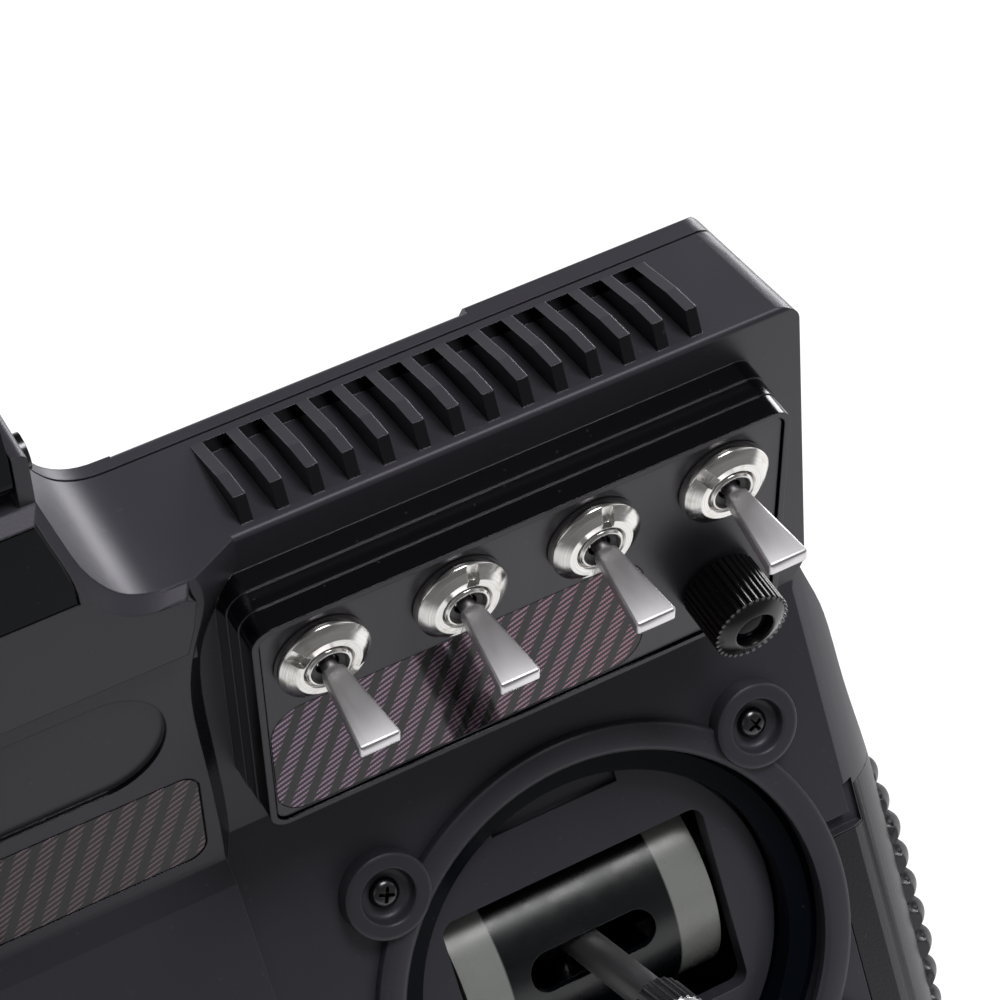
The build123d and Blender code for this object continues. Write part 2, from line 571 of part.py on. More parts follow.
def side_x(z):
    """Half width of the body's side at height z."""
    for (low_in, low), (high_in, high) in zip(SIDE_OUTLINE[1:], SIDE_OUTLINE):
        if low <= z <= high:
            return GRIP_HALF - low_in + (low_in - high_in) * (z - low) / (high - low)
    return GRIP_HALF


def grip(body, core):
    """Rubber grip with a row of finger knuckles that taper off towards the front."""
    pad = body
    nose = Rot(90, 0, 0) * Cone(BUMP_R, BUMP_NOSE, BUMP_NOSE_L)
    for i in range(BUMP_COUNT):
        z = BUMP_TOP_Z - i * BUMP_PITCH
        x = side_x(z) + BUMP_PROUD - BUMP_R
        pad += bolt(BUMP_R, BUMP_FRONT, BUMP_BACK, x, z) + Pos(x, BUMP_FRONT - BUMP_NOSE_L / 2, z) * nose
    return (pad - core) & grip_region(0.0)


def grip_notch():
    """Stepped notch where the flange of the side grip ends."""
    left, middle, right, low, high, top, depth = NOTCH
    step = slab(left, right, low, high, -depth, CUT) + slab(middle, right, low, top, -depth, CUT)
    return on_front(step)


def display_openings():
    half_w, half_h = DISPLAY_W / 2, DISPLAY_H / 2
    low, high = DISPLAY_Z - half_h, DISPLAY_Z + half_h
    edge = DISPLAY_LEDGE
    seat = plate(-half_w, half_w, low, high, 0.0, CUT, 1.0)
    window = plate(-half_w + edge, half_w - edge, low + edge, high - edge, -2 * CUT, CUT, 1.0)
    return on_front(seat + window)


def display_frame():
    wide, high = DISPLAY_W / 2 + DISPLAY_FRAME, DISPLAY_H / 2 + DISPLAY_FRAME
    frame = plate(-wide, wide, DISPLAY_Z - high, DISPLAY_Z + high, -WALL + 0.4, DISPLAY_RISE, DISPLAY_FRAME)
    return on_front(frame & slab(-wide, wide, 0, FIELD_FOOT_Z - 0.1, -CUT, CUT))


def front_openings():
    """Openings between the sticks and round the display."""
    cuts = display_openings()
    for x, z in KEYS:
        cuts += on_front(rod(KEY_R + FIT, -9, 9, x, z))
    knob_half, knob_high, _ = POWER_KNOB
    cuts += on_front(plate(-knob_half - FIT, knob_half + FIT, POWER_Z - knob_high - FIT,
                           POWER_Z + knob_high + FIT + POWER_TRAVEL, -9, 9, 0.8))
    for z in (EYELET_Z, LED_Z):
        cuts += on_front(rod(STUD_BORE_R, -9, 9, 0, z))
    return cuts


def front_shell(body, cavity):
    shell = (body & front_region()) + both(switch_block())
    shell += column_and_tower() + lower_field()
    shell -= cavity + seam_groove()
    shell += both(fin_bed())
    shell -= both(fin_well())
    for fin in fins():
        shell += both(fin)
    shell -= both(switch_block_cuts())
    shell -= insert_seat() + badge_pocket() + centre_label(LABEL_GAP, CUT)
    shell -= both(stick_cut()) + both(grip_region(GRIP_GAP) - GRIP_CORE) + both(grip_notch())
    for place in TRIM_PLACES:
        shell -= both(trim_slot(*place))
    shell += display_frame()
    return shell - front_openings()


BODY = envelope()
END_LIMIT = console_block(0.0)
GRIP_CORE = envelope(GRIP_PAD)
CAVITY = envelope(WALL)


# ---------------------------------------------------------------- rear housing
def rear_pad():
    """Thicker end of the rim behind the shoulder."""
    v0, v1, n0, n1 = SHOULDER_V - REAR_DROP + 1.0, SHOULDER_V, REAR_N - REAR_STEP, REAR_N
    edge = 0.5
    outline = [(n1 + edge, v0), (n0 - PAD_T + edge, v0), (n1 - PAD_T, v1 - edge), (n1 - PAD_T + edge, v1),
               (n1 + 1, v1)]
    end = console_half(v1, n1) + 1.0
    return on_console(console_prism(outline, PAD_FROM, end))


def battery_hump():
    hump = slab(-HUMP_HALF, HUMP_HALF, BACK_Y - 2 * WALL, HUMP_Y, 0, HUMP_TOP)
    near, far, top = BACK_Y - CUT, HUMP_Y + 1, HUMP_TOP + 4 * CUT
    slope = prism([(near, HUMP_TOP + 9), (far, HUMP_TOP - 8), (far, top), (near, top)], HUMP_HALF + CUT)
    hump -= slope
    return fillet(hump.edges().filter_by(Axis.Z).group_by(Axis.Y)[-1], HUMP_CORNER)


def case_screw_places():
    return tuple((sx * x, z) for sx in (-1, 1) for x, z in CASE_SCREWS)


def battery_bay():
    """Tub of the battery bay, without its opening."""
    return slab(-BAY_HALF - WALL, BAY_HALF + WALL, BAY_FLOOR_Y - WALL, HUMP_Y - 3,
                BAY_LOW - WALL, BAY_HIGH + WALL)


def bay_opening():
    opening = slab(-BAY_HALF, BAY_HALF, BAY_FLOOR_Y, HUMP_Y + CUT, BAY_LOW, BAY_HIGH)
    return opening + slab(-BAY_HALF - COVER_LIP, BAY_HALF + COVER_LIP, HUMP_Y - COVER_T, HUMP_Y + CUT,
                          BAY_LOW - COVER_LIP, BAY_HIGH + COVER_LIP)


def rear_shell():
    shell = (BODY - front_region()) + battery_hump() + (both(rear_pad()) & END_LIMIT)
    shell -= both(rear_corner_cut())
    tower = extrude(Pos(0, 0, REAR_N) * tower_face(), amount=SEAM_N - REAR_N, dir=(0, 0, 1))
    shell += on_console(tower)
    shell -= CAVITY
    shell += battery_bay()
    shell -= bay_opening()
    for x, z in POST_PLACES:
        shell += slab(x - POST_HALF, x + POST_HALF, BOARD_BACK, BAY_FLOOR_Y - WALL + 0.1, z - POST_HALF, z + POST_HALF)
    for x, z in case_screw_places():
        shell += bolt(BOSS_R, BACK_Y - 0.9 - BOSS_L, BACK_Y - 0.9, x, z)
        shell -= bolt(CASE_BORE_R, BACK_Y - CASE_HEAD - 0.2, BACK_Y + 2, x, z)
        shell -= bolt(BOSS_HOLE_R, BACK_Y - 2 * CUT, BACK_Y + CUT, x, z)
    return shell - bolt(JACK_R, BACK_Y - 3 * CUT, BACK_Y + CUT, JACK_X, JACK_Z)


def charge_jack():
    seat = BACK_Y - WALL
    barrel = bolt(JACK_R - 0.01, BACK_Y - JACK_BODY, BACK_Y, JACK_X, JACK_Z)
    flange = bolt(JACK_FLANGE_R, seat - JACK_FLANGE, seat, JACK_X, JACK_Z)
    return (barrel + flange) - bolt(JACK_BORE_R, BACK_Y - JACK_L, BACK_Y, JACK_X, JACK_Z)


# ---------------------------------------------------------------- switches and dials
def switch_panel():
    edge = RIM + PANEL_GAP
    panel = plate(PANEL_LEFT + edge, PANEL_RIGHT - edge, PANEL_BOTTOM + edge, PANEL_TOP - edge,
                  -PANEL_T, 0, PANEL_CORNER - edge)
    for x in TOGGLE_X:
        panel -= rod(BUSH_R + 0.1, -CUT, CUT, x, 0)
    panel -= rod(DIAL_BUSH_R + 0.1, -CUT, CUT, DIAL_X, DIAL_V)
    return on_console(panel - inlay_plate(INLAY_GAP, CUT))


def inlay_plate(gap, top):
    left, right, low, high = INLAY
    return plate(left - gap, right + gap, low - gap, high + gap, -INLAY_T, top, INLAY_CORNER + gap)


def panel_inlay():
    return on_console(inlay_plate(0.0, -0.02))


def toggle_body(x):
    """Case, threaded bush and solder tags of a toggle switch."""
    wide, high, deep = SWITCH_BODY
    top = -PANEL_T
    body = slab(x - wide / 2, x + wide / 2, -high / 2, high / 2, top - deep, top)
    body += rod(BUSH_R, top - 0.1, BUSH_TOP, x, 0)
    body -= rod(BUSH_BORE, BUSH_FLOOR, BUSH_TOP + CUT, x, 0)
    tag_w, tag_t, tag_l = SOLDER_TAG
    for v in (-TAG_PITCH, 0.0, TAG_PITCH):
        body += slab(x - tag_w / 2, x + tag_w / 2, v - tag_t / 2, v + tag_t / 2, top - deep - tag_l, top - deep + 0.1)
    return on_console(body)


def toggle_nut(x, slot_angle):
    """Round dress nut with two spanner slots."""
    nut = rod(NUT_R, 0, NUT_BASE)
    nut += Pos(0, 0, (NUT_BASE + NUT_TOP) / 2) * Cone(NUT_R, NUT_RING_R, NUT_TOP - NUT_BASE)
    nut -= rod(BUSH_R + 0.02, -1, CUT)
    inner, half = NUT_RING_R - NUT_SLOT_IN, NUT_SLOT / 2
    for side in (0.0, 180.0):
        nut -= Rot(0, 0, slot_angle + side) * slab(inner, NUT_R + 1, -half, half, NUT_BASE, CUT)
    return on_console(Pos(x, 0, 0) * nut)


def tapered_strip(root, end, plane):
    """Wedge from the lever's root to its tip, seen in one plane and pushed both ways."""
    outline = Polyline((-root / 2, LEVER_ROOT_N), (root / 2, LEVER_ROOT_N), (end / 2, LEVER_TIP_N),
                       (-end / 2, LEVER_TIP_N), close=True)
    return extrude(plane * make_face(outline), amount=2 * LEVER_END[0], both=True)


def toggle_lever(x):
    """Flat tapered lever on a barrel that turns in the bush."""
    barrel = axle(LEVER_BARREL_R, LEVER_BARREL_L, 0, 0, LEVER_PIVOT_N)
    wide = tapered_strip(LEVER_ROOT[0], LEVER_END[0], Plane.XZ)
    deep = tapered_strip(LEVER_ROOT[1], LEVER_END[1], Plane.YZ)
    return on_console(Pos(x, 0, 0) * (barrel + (wide & deep)))


def dial_base():
    """Potentiometer can, bush and tags behind a dial."""
    body = rod(DIAL_CAN_R, DIAL_CAN_END, -PANEL_T) + rod(DIAL_BUSH_R, -PANEL_T - 0.1, DIAL_BUSH_TOP)
    body -= rod(DIAL_SHAFT_R + RUN, DIAL_SHAFT_END - 0.6, CUT)
    tag_w, tag_t, tag_l = SOLDER_TAG
    for x in (-2.5, 0.0, 2.5):
        body += slab(x - tag_t / 2, x + tag_t / 2, -3.6, -2.8, DIAL_CAN_END - tag_l, DIAL_CAN_END + 0.1)
    return on_console(Pos(DIAL_X, DIAL_V, 0) * body)


def dial_knob():
    knob = rod(DIAL_R, FIT, DIAL_H)
    knob = chamfer(knob.edges().group_by(Axis.Z)[-1], DIAL_CHAMFER)
    knob -= rod(DIAL_DISH_R, DIAL_H - DIAL_DISH, DIAL_H + 1)
    knob -= rod(DIAL_BUSH_R + FIT, -1, DIAL_BUSH_TOP + 2 * FIT)
    knob += rod(DIAL_SHAFT_R, DIAL_SHAFT_END, DIAL_BUSH_TOP + CUT / 2)
    return on_console(Pos(DIAL_X, DIAL_V, 0) * knob)


# ---------------------------------------------------------------- sticks
def at_stick(shape):
    return on_front(Pos(STICK_X, STICK_Z, 0) * shape)


def at_gimbal(shape):
    return at_stick(Pos(0, 0, GIMBAL_H) * shape)


def stick_bezel():
    """Ring round a stick with four screw ears."""
    ring = revolved([(BEZEL_BORE, 0), (BEZEL_R, 0), (BEZEL_R, BEZEL_H - BEZEL_EDGE),
                     (BEZEL_R - BEZEL_EDGE, BEZEL_H), (BEZEL_BORE, BEZEL_H)])
    for x, z in ear_places():
        ring += rod(EAR_R, 0, EAR_H, x, z)
    for x, z in ear_places():
        ring -= rod(EAR_BORE_R, EAR_FLOOR, EAR_H + 1, x, z) + rod(SCREW_HOLE_R, -1, EAR_H, x, z)
    return at_stick(ring)


def bezel_screw(x, z):
    head = rod(SCREW_HEAD_R, EAR_FLOOR, EAR_FLOOR + SCREW_HEAD, x, z)
    return at_stick(head + rod(SCREW_R, -WALL, EAR_FLOOR + 0.1, x, z))


def gimbal_frame():
    """Fixed cup that carries the stick mechanism."""
    top, inner, flange = -WALL, CUP_R - CUP_WALL, CUP_R + CUP_FLANGE
    lip = CUP_R - CUP_LIP
    cup = revolved([(lip, top), (CUP_R, CUP_LIP_TOP), (CUP_R, top), (flange, top), (flange, top - CUP_FLANGE_T),
                    (CUP_R, top - CUP_FLANGE_T), (CUP_R, -CUP_DEPTH), (0, -CUP_DEPTH), (0, -CUP_DEPTH + CUP_WALL),
                    (inner, -CUP_DEPTH + CUP_WALL), (inner, CUP_LIP_BASE), (lip, CUP_LIP_BASE)])
    return at_stick(cup - axle(YOKE_PIN_R + RUN, 2 * (CUP_R + CUT), 0, 0, GIMBAL_H))


def gimbal_plate():
    """Flat dust plate with the window that the stick moves in."""
    top = CUP_LIP_BASE
    disc = rod(CUP_R - CUP_LIP - DISC_GAP, top, top + DISC_T)
    disc += rod(CUP_R - CUP_WALL - DISC_GAP, top - DISC_T, top)
    disc -= plate(-WINDOW_W / 2, WINDOW_W / 2, -WINDOW_H / 2, WINDOW_H / 2, top - CUT, 0, WINDOW_CORNER)
    wide, away, half = DISC_NOTCH
    for side in (-1, 1):
        disc -= slab(-wide, wide, side * away - half, side * away + half, top + 0.6, 0)
    return at_stick(disc)


def yoke():
    """Rocking frame with a curved shield under the dust plate."""
    half, reach = YOKE_HALF, YOKE_REACH
    shield = axle(YOKE_R, 2 * half) - axle(YOKE_R - YOKE_T, 2 * half + 1)
    shield &= slab(-half, half, -reach, reach, 4, YOKE_R + 1)
    slot_x, slot_z = YOKE_SLOT
    shield -= plate(-slot_x, slot_x, -slot_z, slot_z, CUT, YOKE_R + CUT, slot_z - 0.1)
    inner, outer, thick = YOKE_BAR
    cheek, side = half - 2.0, reach - 0.2
    frame = both(slab(cheek, half, -side, side, -thick, 8))
    frame += slab(-cheek - 1, cheek + 1, inner, outer, -thick, thick)
    frame += slab(-cheek - 1, cheek + 1, -outer, -inner, -thick, thick)
    pins = axle(YOKE_PIN_R, 2 * YOKE_PIN_END) - slab(-half + 1, half - 1, -CUT, CUT, -CUT, CUT)
    pin_hole = Rot(90, 0, 0) * Cylinder(STICK_PIN_R + RUN, 2 * reach + CUT)
    return at_gimbal(shield + frame + pins - pin_hole)


def stick_shaft():
    hub = Rot(90, 0, 0) * Cylinder(STICK_HUB_R, STICK_HUB_L)
    pin = Rot(90, 0, 0) * Cylinder(STICK_PIN_R, STICK_PIN_L)
    return at_gimbal(hub + pin + rod(STICK_R, 0, STICK_TOP - GIMBAL_H))


def stick_cap():
    cap = rod(CAP_R, CAP_LOW, CAP_TOP)
    cap = chamfer(cap.edges().group_by(Axis.Z)[-1], CAP_EDGE)
    return at_stick(cap - rod(STICK_R + 0.02, CAP_LOW - CUT, STICK_TOP))


# ---------------------------------------------------------------- small front pieces
def trim_lever(x, z, turned):
    knob = Box(TRIM_W, TRIM_H, 2 * TRIM_RISE)
    foot = Pos(0, 0, -WALL - FIT - TRIM_FOOT_T / 2) * Box(TRIM_W + 4, TRIM_H + 8, TRIM_FOOT_T)
    return on_front(Pos(x, z, 0) * Rot(0, 0, 90 if turned else 0) * (knob + foot))


def key_cap(x, z):
    cap = rod(KEY_R, -WALL - 1.4, KEY_RISE)
    cap = chamfer(cap.edges().group_by(Axis.Z)[-1], KEY_EDGE)
    return on_front(Pos(x, z, 0) * (cap + rod(KEY_R + KEY_FLANGE, -WALL - 1.6, -WALL - FIT)))


def power_slider():
    half, high, rise = POWER_KNOB
    foot_half, foot_high = POWER_FOOT
    knob = slab(-half, half, POWER_Z - high, POWER_Z + high, -4, rise)
    foot = slab(-foot_half, foot_half, POWER_Z - foot_high, POWER_Z + foot_high, -4.6, -WALL - FIT)
    return on_front(knob + foot)


def power_base():
    half, high, deep = POWER_CASE
    low, top = POWER_Z - high, POWER_Z + high + POWER_TRAVEL
    case = slab(-half, half, low, top, -deep, -WALL)
    channel = POWER_FOOT[0] + FIT
    return on_front(case - slab(-channel, channel, low - 1, top + 1, -4.6 - FIT, 0))


def status_lens():
    lens = rod(STUD_R, -3.5, 3.4) + rod(STUD_R + 0.8, -3.9, -WALL)
    return on_front(Pos(0, LED_Z, 0) * lens)


def strap_eyelet():
    """Standing ring for a neck strap on a pressed-in post."""
    centre = Pos(0, 0, EYELET_REACH)
    post = rod(STUD_R, -4.0, 3.4) + rod(3.6, 3.0, 4.2) + rod(2.4, -3.9, -WALL)
    eyelet = post + centre * axle(EYELET_R, EYELET_T) - centre * axle(EYELET_BORE_R, 4 * EYELET_T)
    return on_front(Pos(0, EYELET_Z, 0) * eyelet)


def display_glass():
    wide, high = DISPLAY_W / 2 - GLASS_GAP, DISPLAY_H / 2 - GLASS_GAP
    return on_front(plate(-wide, wide, DISPLAY_Z - high, DISPLAY_Z + high, 0.0, GLASS_T, 0.9))


def display_module():
    edge = DISPLAY_LEDGE + FIT
    wide, high = DISPLAY_W / 2 - edge, DISPLAY_H / 2 - edge
    return on_front(slab(-wide, wide, DISPLAY_Z - high, DISPLAY_Z + high, -6.5, -0.02))


def main_board():
    board = slab(-BOARD_HALF, BOARD_HALF, BOARD_FRONT, BOARD_BACK, BOARD_LOW, BOARD_HIGH)
    chip_t, tall_chip_t, socket_t = 2.2, 3.2, 8.0
    chips = slab(-20, -8, BOARD_FRONT - tall_chip_t, BOARD_FRONT, 60, 72)
    chips += slab(6, 22, BOARD_FRONT - chip_t, BOARD_FRONT, 76, 92)
    return board + chips + slab(-24, 24, BOARD_FRONT - socket_t, BOARD_FRONT, 30, 34)


# ---------------------------------------------------------------- aerial
def antenna_arm():
    """Flat folding aerial on the tower."""
    low, neck = TOWER_TOP_V + 2 * FIT, 44.0
    side = Polyline((0, low), (ARM_HALF, low), (ARM_HALF, neck), *ARM_EDGE)
    crown = ThreePointArc(ARM_EDGE[-1], (0.7 * ARM_EDGE[-1][0], ARM_TIP_V - 1.8), (0, ARM_TIP_V))
    right = [side, crown]
    face = make_face(Curve() + right + [mirror(edge, about=Plane.YZ) for edge in right])
    blade = extrude(Pos(0, 0, ARM_PIVOT_N - ARM_KNUCKLE) * face, amount=2 * ARM_KNUCKLE, dir=(0, 0, 1))
    pivot = (0, ARM_PIVOT_V, ARM_PIVOT_N)
    heel = slab(-2 * ARM_HALF, 2 * ARM_HALF, low - CUT, ARM_PIVOT_V, -30, 10)
    heel -= axle(ARM_KNUCKLE, 8 * ARM_HALF, *pivot)
    return on_console(blade - heel - axle(ARM_PIN_R + RUN, 8 * ARM_HALF, *pivot))


def antenna_pin():
    pin = axle(ARM_PIN_R, ARM_PIN_L)
    head_x = (ARM_PIN_L + ARM_PIN_HEAD) / 2
    pin += both(axle(ARM_PIN_HEAD_R, ARM_PIN_HEAD, head_x))
    return on_console(Pos(0, ARM_PIVOT_V, ARM_PIVOT_N) * pin)


# ---------------------------------------------------------------- rear pieces
def battery_cover():
    lip = COVER_LIP - COVER_GAP
    return slab(-BAY_HALF - lip, BAY_HALF + lip, HUMP_Y - COVER_T, HUMP_Y + COVER_PROUD,
                BAY_LOW - lip, BAY_HIGH + lip)


def battery_cells():
    cells = []
    low, high = BAY_LOW + CELL_FOOT, BAY_LOW + CELL_FOOT + CELL_L
    for i in range(CELL_COUNT):
        x = (i - (CELL_COUNT - 1) / 2) * (2 * CELL_R + CELL_GAP)
        cell = rod(CELL_R, low, high) + rod(CELL_CAP_R, high, high + CELL_CAP)
        cells.append(Pos(x, BAY_FLOOR_Y + CELL_R + 0.02, 0) * cell)
    return group(cells)


def case_screw(x, z):
    back = BACK_Y - 0.2
    return bolt(CASE_HEAD_R, back - CASE_HEAD, back, x, z) + bolt(CASE_SCREW_R, BACK_Y - CASE_SCREW_L, back - 1.3, x, z)


# ---------------------------------------------------------------- build all pieces
def save_console_pieces():
    save_pair(switch_panel(), "switch_panel")
    save_pair(panel_inlay(), "panel_inlay")
    save_group([toggle_body(x) for x in TOGGLE_X], "toggle_bodies")
    save_group([toggle_nut(x, angle) for x, angle in zip(TOGGLE_X, TOGGLE_SLOTS)], "toggle_nuts")
    for i, x in enumerate(TOGGLE_X):
        save_pair(toggle_lever(x), f"toggle_lever_{i + 1}")
    save_pair(dial_base(), "dial_base")
    save_pair(dial_knob(), "dial_knob")
    save(tower_insert(), "tower_insert")
    save(centre_label(), "centre_label")
    save(antenna_arm(), "antenna_arm")
    save(antenna_pin(), "antenna_pin")


def save_stick_pieces():
    save_pair(stick_bezel(), "stick_bezel")
    save_group([bezel_screw(x, z) for x, z in ear_places()], "bezel_screws")
    save_pair(gimbal_frame(), "gimbal_cup")
    save_pair(gimbal_plate(), "gimbal_plate")
    save_pair(yoke(), "stick_yoke")
    save_pair(stick_shaft(), "stick_shaft")
    save_pair(stick_cap(), "stick_cap")
    for name, place in zip(("pitch", "side"), TRIM_PLACES):
        save_pair(trim_lever(*place), f"trim_lever_{name}")


def save_lower_pieces():
    for i, (x, z) in enumerate(KEYS):
        save(key_cap(x, z), f"key_{i + 1}")
    save(power_slider(), "power_slider")
    save(power_base(), "power_switch")
    save(status_lens(), "status_lens")
    save(strap_eyelet(), "strap_eyelet")
    save(display_glass(), "display_glass")
    save(display_module(), "display_module")
    save(main_board(), "main_board")
    save(battery_cover(), "battery_cover")
    save(battery_cells(), "battery_cells")
    save(group([case_screw(x, z) for x, z in case_screw_places()]), "case_screws")
    save(charge_jack(), "charge_jack")


def main():
    os.makedirs("parts", exist_ok=True)
    save(front_shell(BODY, CAVITY), "front_housing")
    save(rear_shell(), "rear_housing")
    save_pair(grip(BODY, GRIP_CORE), "side_grip")
    save_console_pieces()
    save_stick_pieces()
    save_lower_pieces()


main()
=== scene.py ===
import math

import bmesh
import bpy
from mathutils import Matrix, Vector


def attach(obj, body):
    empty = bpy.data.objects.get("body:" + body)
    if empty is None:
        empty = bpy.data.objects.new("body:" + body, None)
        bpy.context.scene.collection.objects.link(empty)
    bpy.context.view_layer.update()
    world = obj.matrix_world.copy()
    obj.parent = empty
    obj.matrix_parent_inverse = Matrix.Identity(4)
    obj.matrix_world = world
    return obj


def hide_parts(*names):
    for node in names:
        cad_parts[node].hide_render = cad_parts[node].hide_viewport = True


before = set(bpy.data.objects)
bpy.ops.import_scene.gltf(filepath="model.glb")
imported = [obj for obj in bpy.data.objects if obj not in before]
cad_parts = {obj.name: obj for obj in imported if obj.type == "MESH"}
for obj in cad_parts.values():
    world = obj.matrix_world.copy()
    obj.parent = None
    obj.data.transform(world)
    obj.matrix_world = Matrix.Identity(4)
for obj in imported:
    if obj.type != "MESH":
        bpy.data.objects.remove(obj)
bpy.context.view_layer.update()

MM = 0.001
TILT = math.radians(32.0)
SIN, COS = math.sin(TILT), math.cos(TILT)
STICK_X, STICK_Z = 71.4, 84.3

# --- camera ---------------------------------------------------------------

CAMERA_PLACE = (-0.05205, -0.39303, 0.29203)
CAMERA_AXES = (
    (0.87602, -0.40160, -0.26703),
    (0.37319, 0.21378, 0.90279),
    (-0.30547, -0.89052, 0.33715),
)


def place_camera():
    lens = bpy.data.cameras.new("camera")
    lens.lens = 117.47
    lens.sensor_width = 36.0
    lens.clip_start = 0.01
    lens.clip_end = 60.0
    camera = bpy.data.objects.new("camera", lens)
    bpy.context.scene.collection.objects.link(camera)
    turn = Matrix(CAMERA_AXES).transposed().to_4x4()
    camera.matrix_world = Matrix.Translation(CAMERA_PLACE) @ turn
    bpy.context.scene.camera = camera


place_camera()

# --- node writing ---------------------------------------------------------


class Signal:
    """A number or vector travelling through a tree; ordinary maths on it adds the nodes."""

    def __init__(self, sheet, socket):
        self.sheet = sheet
        self.socket = socket

    def _maths(self, operation, *values):
        return self.sheet.add("ShaderNodeMath", {"operation": operation}, dict(enumerate(values)))

    def __add__(self, other):
        return self._maths("ADD", self, other)

    def __radd__(self, other):
        return self._maths("ADD", other, self)

    def __sub__(self, other):
        return self._maths("SUBTRACT", self, other)

    def __rsub__(self, other):
        return self._maths("SUBTRACT", other, self)

    def __mul__(self, other):
        return self._maths("MULTIPLY", self, other)

    def __rmul__(self, other):
        return self._maths("MULTIPLY", other, self)

    def __truediv__(self, other):
        return self._maths("DIVIDE", self, other)

    def __lt__(self, other):
        return self._maths("LESS_THAN", self, other)

    def __gt__(self, other):
        return self._maths("GREATER_THAN", self, other)

    def wrapped(self, period):
        return self._maths("FLOORED_MODULO", self, period)

    def floor(self):
        return self._maths("FLOOR", self)

    def size(self):
        return self._maths("ABSOLUTE", self)

    def sine(self):
        return self._maths("SINE", self)

    def at_least(self, other):
        return self._maths("MAXIMUM", self, other)


class Sheet:
    """The node tree of one finish or one repeated piece."""

    def __init__(self, tree):
        self.tree = tree
        self.tree.nodes.clear()

    def add(self, kind, settings=None, inputs=None, output=0):
        node = self.tree.nodes.new(kind)
        for name, value in (settings or {}).items():
            setattr(node, name, value)
        for name, value in (inputs or {}).items():
            if isinstance(value, Signal):
                self.tree.links.new(value.socket, node.inputs[name])
            else:
                node.inputs[name].default_value = value
        return Signal(self, node.outputs[output]) if node.outputs else node

    def more(self, signal, output):
        return Signal(self, signal.socket.node.outputs[output])

    def dot(self, vector, axis):
        return self.add("ShaderNodeVectorMath", {"operation": "DOT_PRODUCT"}, {0: vector, 1: axis},
                        output="Value")

    def place(self):
        return self.add("ShaderNodeTexCoord", output="Object")

    def along(self, axes, origin=(0, 0, 0)):
        """Object coordinates in millimetres along the given directions."""
        from_here = self.add("ShaderNodeVectorMath", {"operation": "SUBTRACT"}, {0: self.place(), 1: origin})
        return [self.dot(from_here, tuple(part / MM for part in axis)) for axis in axes]

    def facing(self, *axes):
        """How far the surface faces each direction of the object."""
        normal = self.add("ShaderNodeTexCoord", output="Normal")
        return [self.dot(normal, axis) for axis in axes]

    def noise(self, place, scale, detail=2.0, roughness=0.5):
        return self.add(
            "ShaderNodeTexNoise",
            None,
            {"Vector": place, "Scale": scale, "Detail": detail, "Roughness": roughness},
        )

    def blend(self, share, first, second):
        return self.add(
            "ShaderNodeMix",
            {"data_type": "RGBA"},
            {0: share, 6: first, 7: second},
            output=2,
        )

    def span(self, value, low, high, to_low=0.0, to_high=1.0):
        return self.add(
            "ShaderNodeMapRange",
            {"clamp": True},
            {"Value": value, "From Min": low, "From Max": high, "To Min": to_low, "To Max": to_high},
        )


def finish(name, paint):
    material = bpy.data.materials.new(name)
    material.use_nodes = True
    sheet = Sheet(material.node_tree)
    surface = paint(sheet)
    sheet.add("ShaderNodeOutputMaterial", None, {"Surface": surface})
    return material


def rgb(red, green, blue):
    return (red, green, blue, 1.0)


# --- finishes -------------------------------------------------------------

RIGHT, UP = (1, 0, 0), (0, 0, 1)
CONSOLE_UP = (0.0, -SIN, COS)
CONSOLE_OUT = (0.0, -COS, -SIN)
CONSOLE_ZERO = (0.0, -0.053829, 0.155153)
# Where the mould is polished and the walls are painted dark as shade, in console millimetres: across, up the console,
# out of it.
BLOCK_X, BLOCK_V, BLOCK_BASE = (28.3, 102.7), (-31.0, 9.2), -8.95
FIN_X, FIN_FOOT, FIN_DEPTH = (32.0, 96.0), 11.3, (-24.6, -10.2)
COLUMN_HALF, COLUMN_V, COLUMN_BASE = 33.0, (-60.0, 13.0), -14.0
# Painted shade: the near-black colour given to the glossy drawn walls.
WALL_SHADE_BLACK = (0.0016, 0.0018, 0.0024)
DUST = (0.5, 0.5, 0.52)
WARM_FILM = (0.42, 0.33, 0.22)


def worn_normal(sheet, radius, height, strength, distance=0.0002):
    """Rounded edges with a fine relief on top."""
    normal = sheet.add("ShaderNodeBevel", {"samples": 4}, {"Radius": radius})
    return sheet.add("ShaderNodeBump", None,
                     {"Strength": strength, "Distance": distance, "Height": height, "Normal": normal})


def between(value, limits):
    return (value > limits[0]) * (value < limits[1])


def glossy_shaded_walls(sheet):
    """1 on the walls of the switch block, the flanks of the fins and the edges of the centre column, which leave the
    mould glossy and get a near-black colour as painted shade.
    """
    up, out = sheet.facing(CONSOLE_UP, CONSOLE_OUT)
    x, v, n = sheet.along([RIGHT, CONSOLE_UP, CONSOLE_OUT], CONSOLE_ZERO)
    x = x.size()
    block_area = between(x, BLOCK_X) * between(v, BLOCK_V) * (n > BLOCK_BASE)
    walls = block_area * sheet.span(out, 0.55, 0.85, 1.0, 0.0)
    fin_area = between(x, FIN_X) * (v > FIN_FOOT) * between(n, FIN_DEPTH)
    flanks = fin_area * sheet.span(up, 0.75, 0.93, 1.0, 0.0)
    column_area = (x < COLUMN_HALF) * between(v, COLUMN_V) * (n > COLUMN_BASE)
    edges = column_area * sheet.span(out, 0.45, 0.8, 1.0, 0.0)
    return walls.at_least(flanks).at_least(edges)


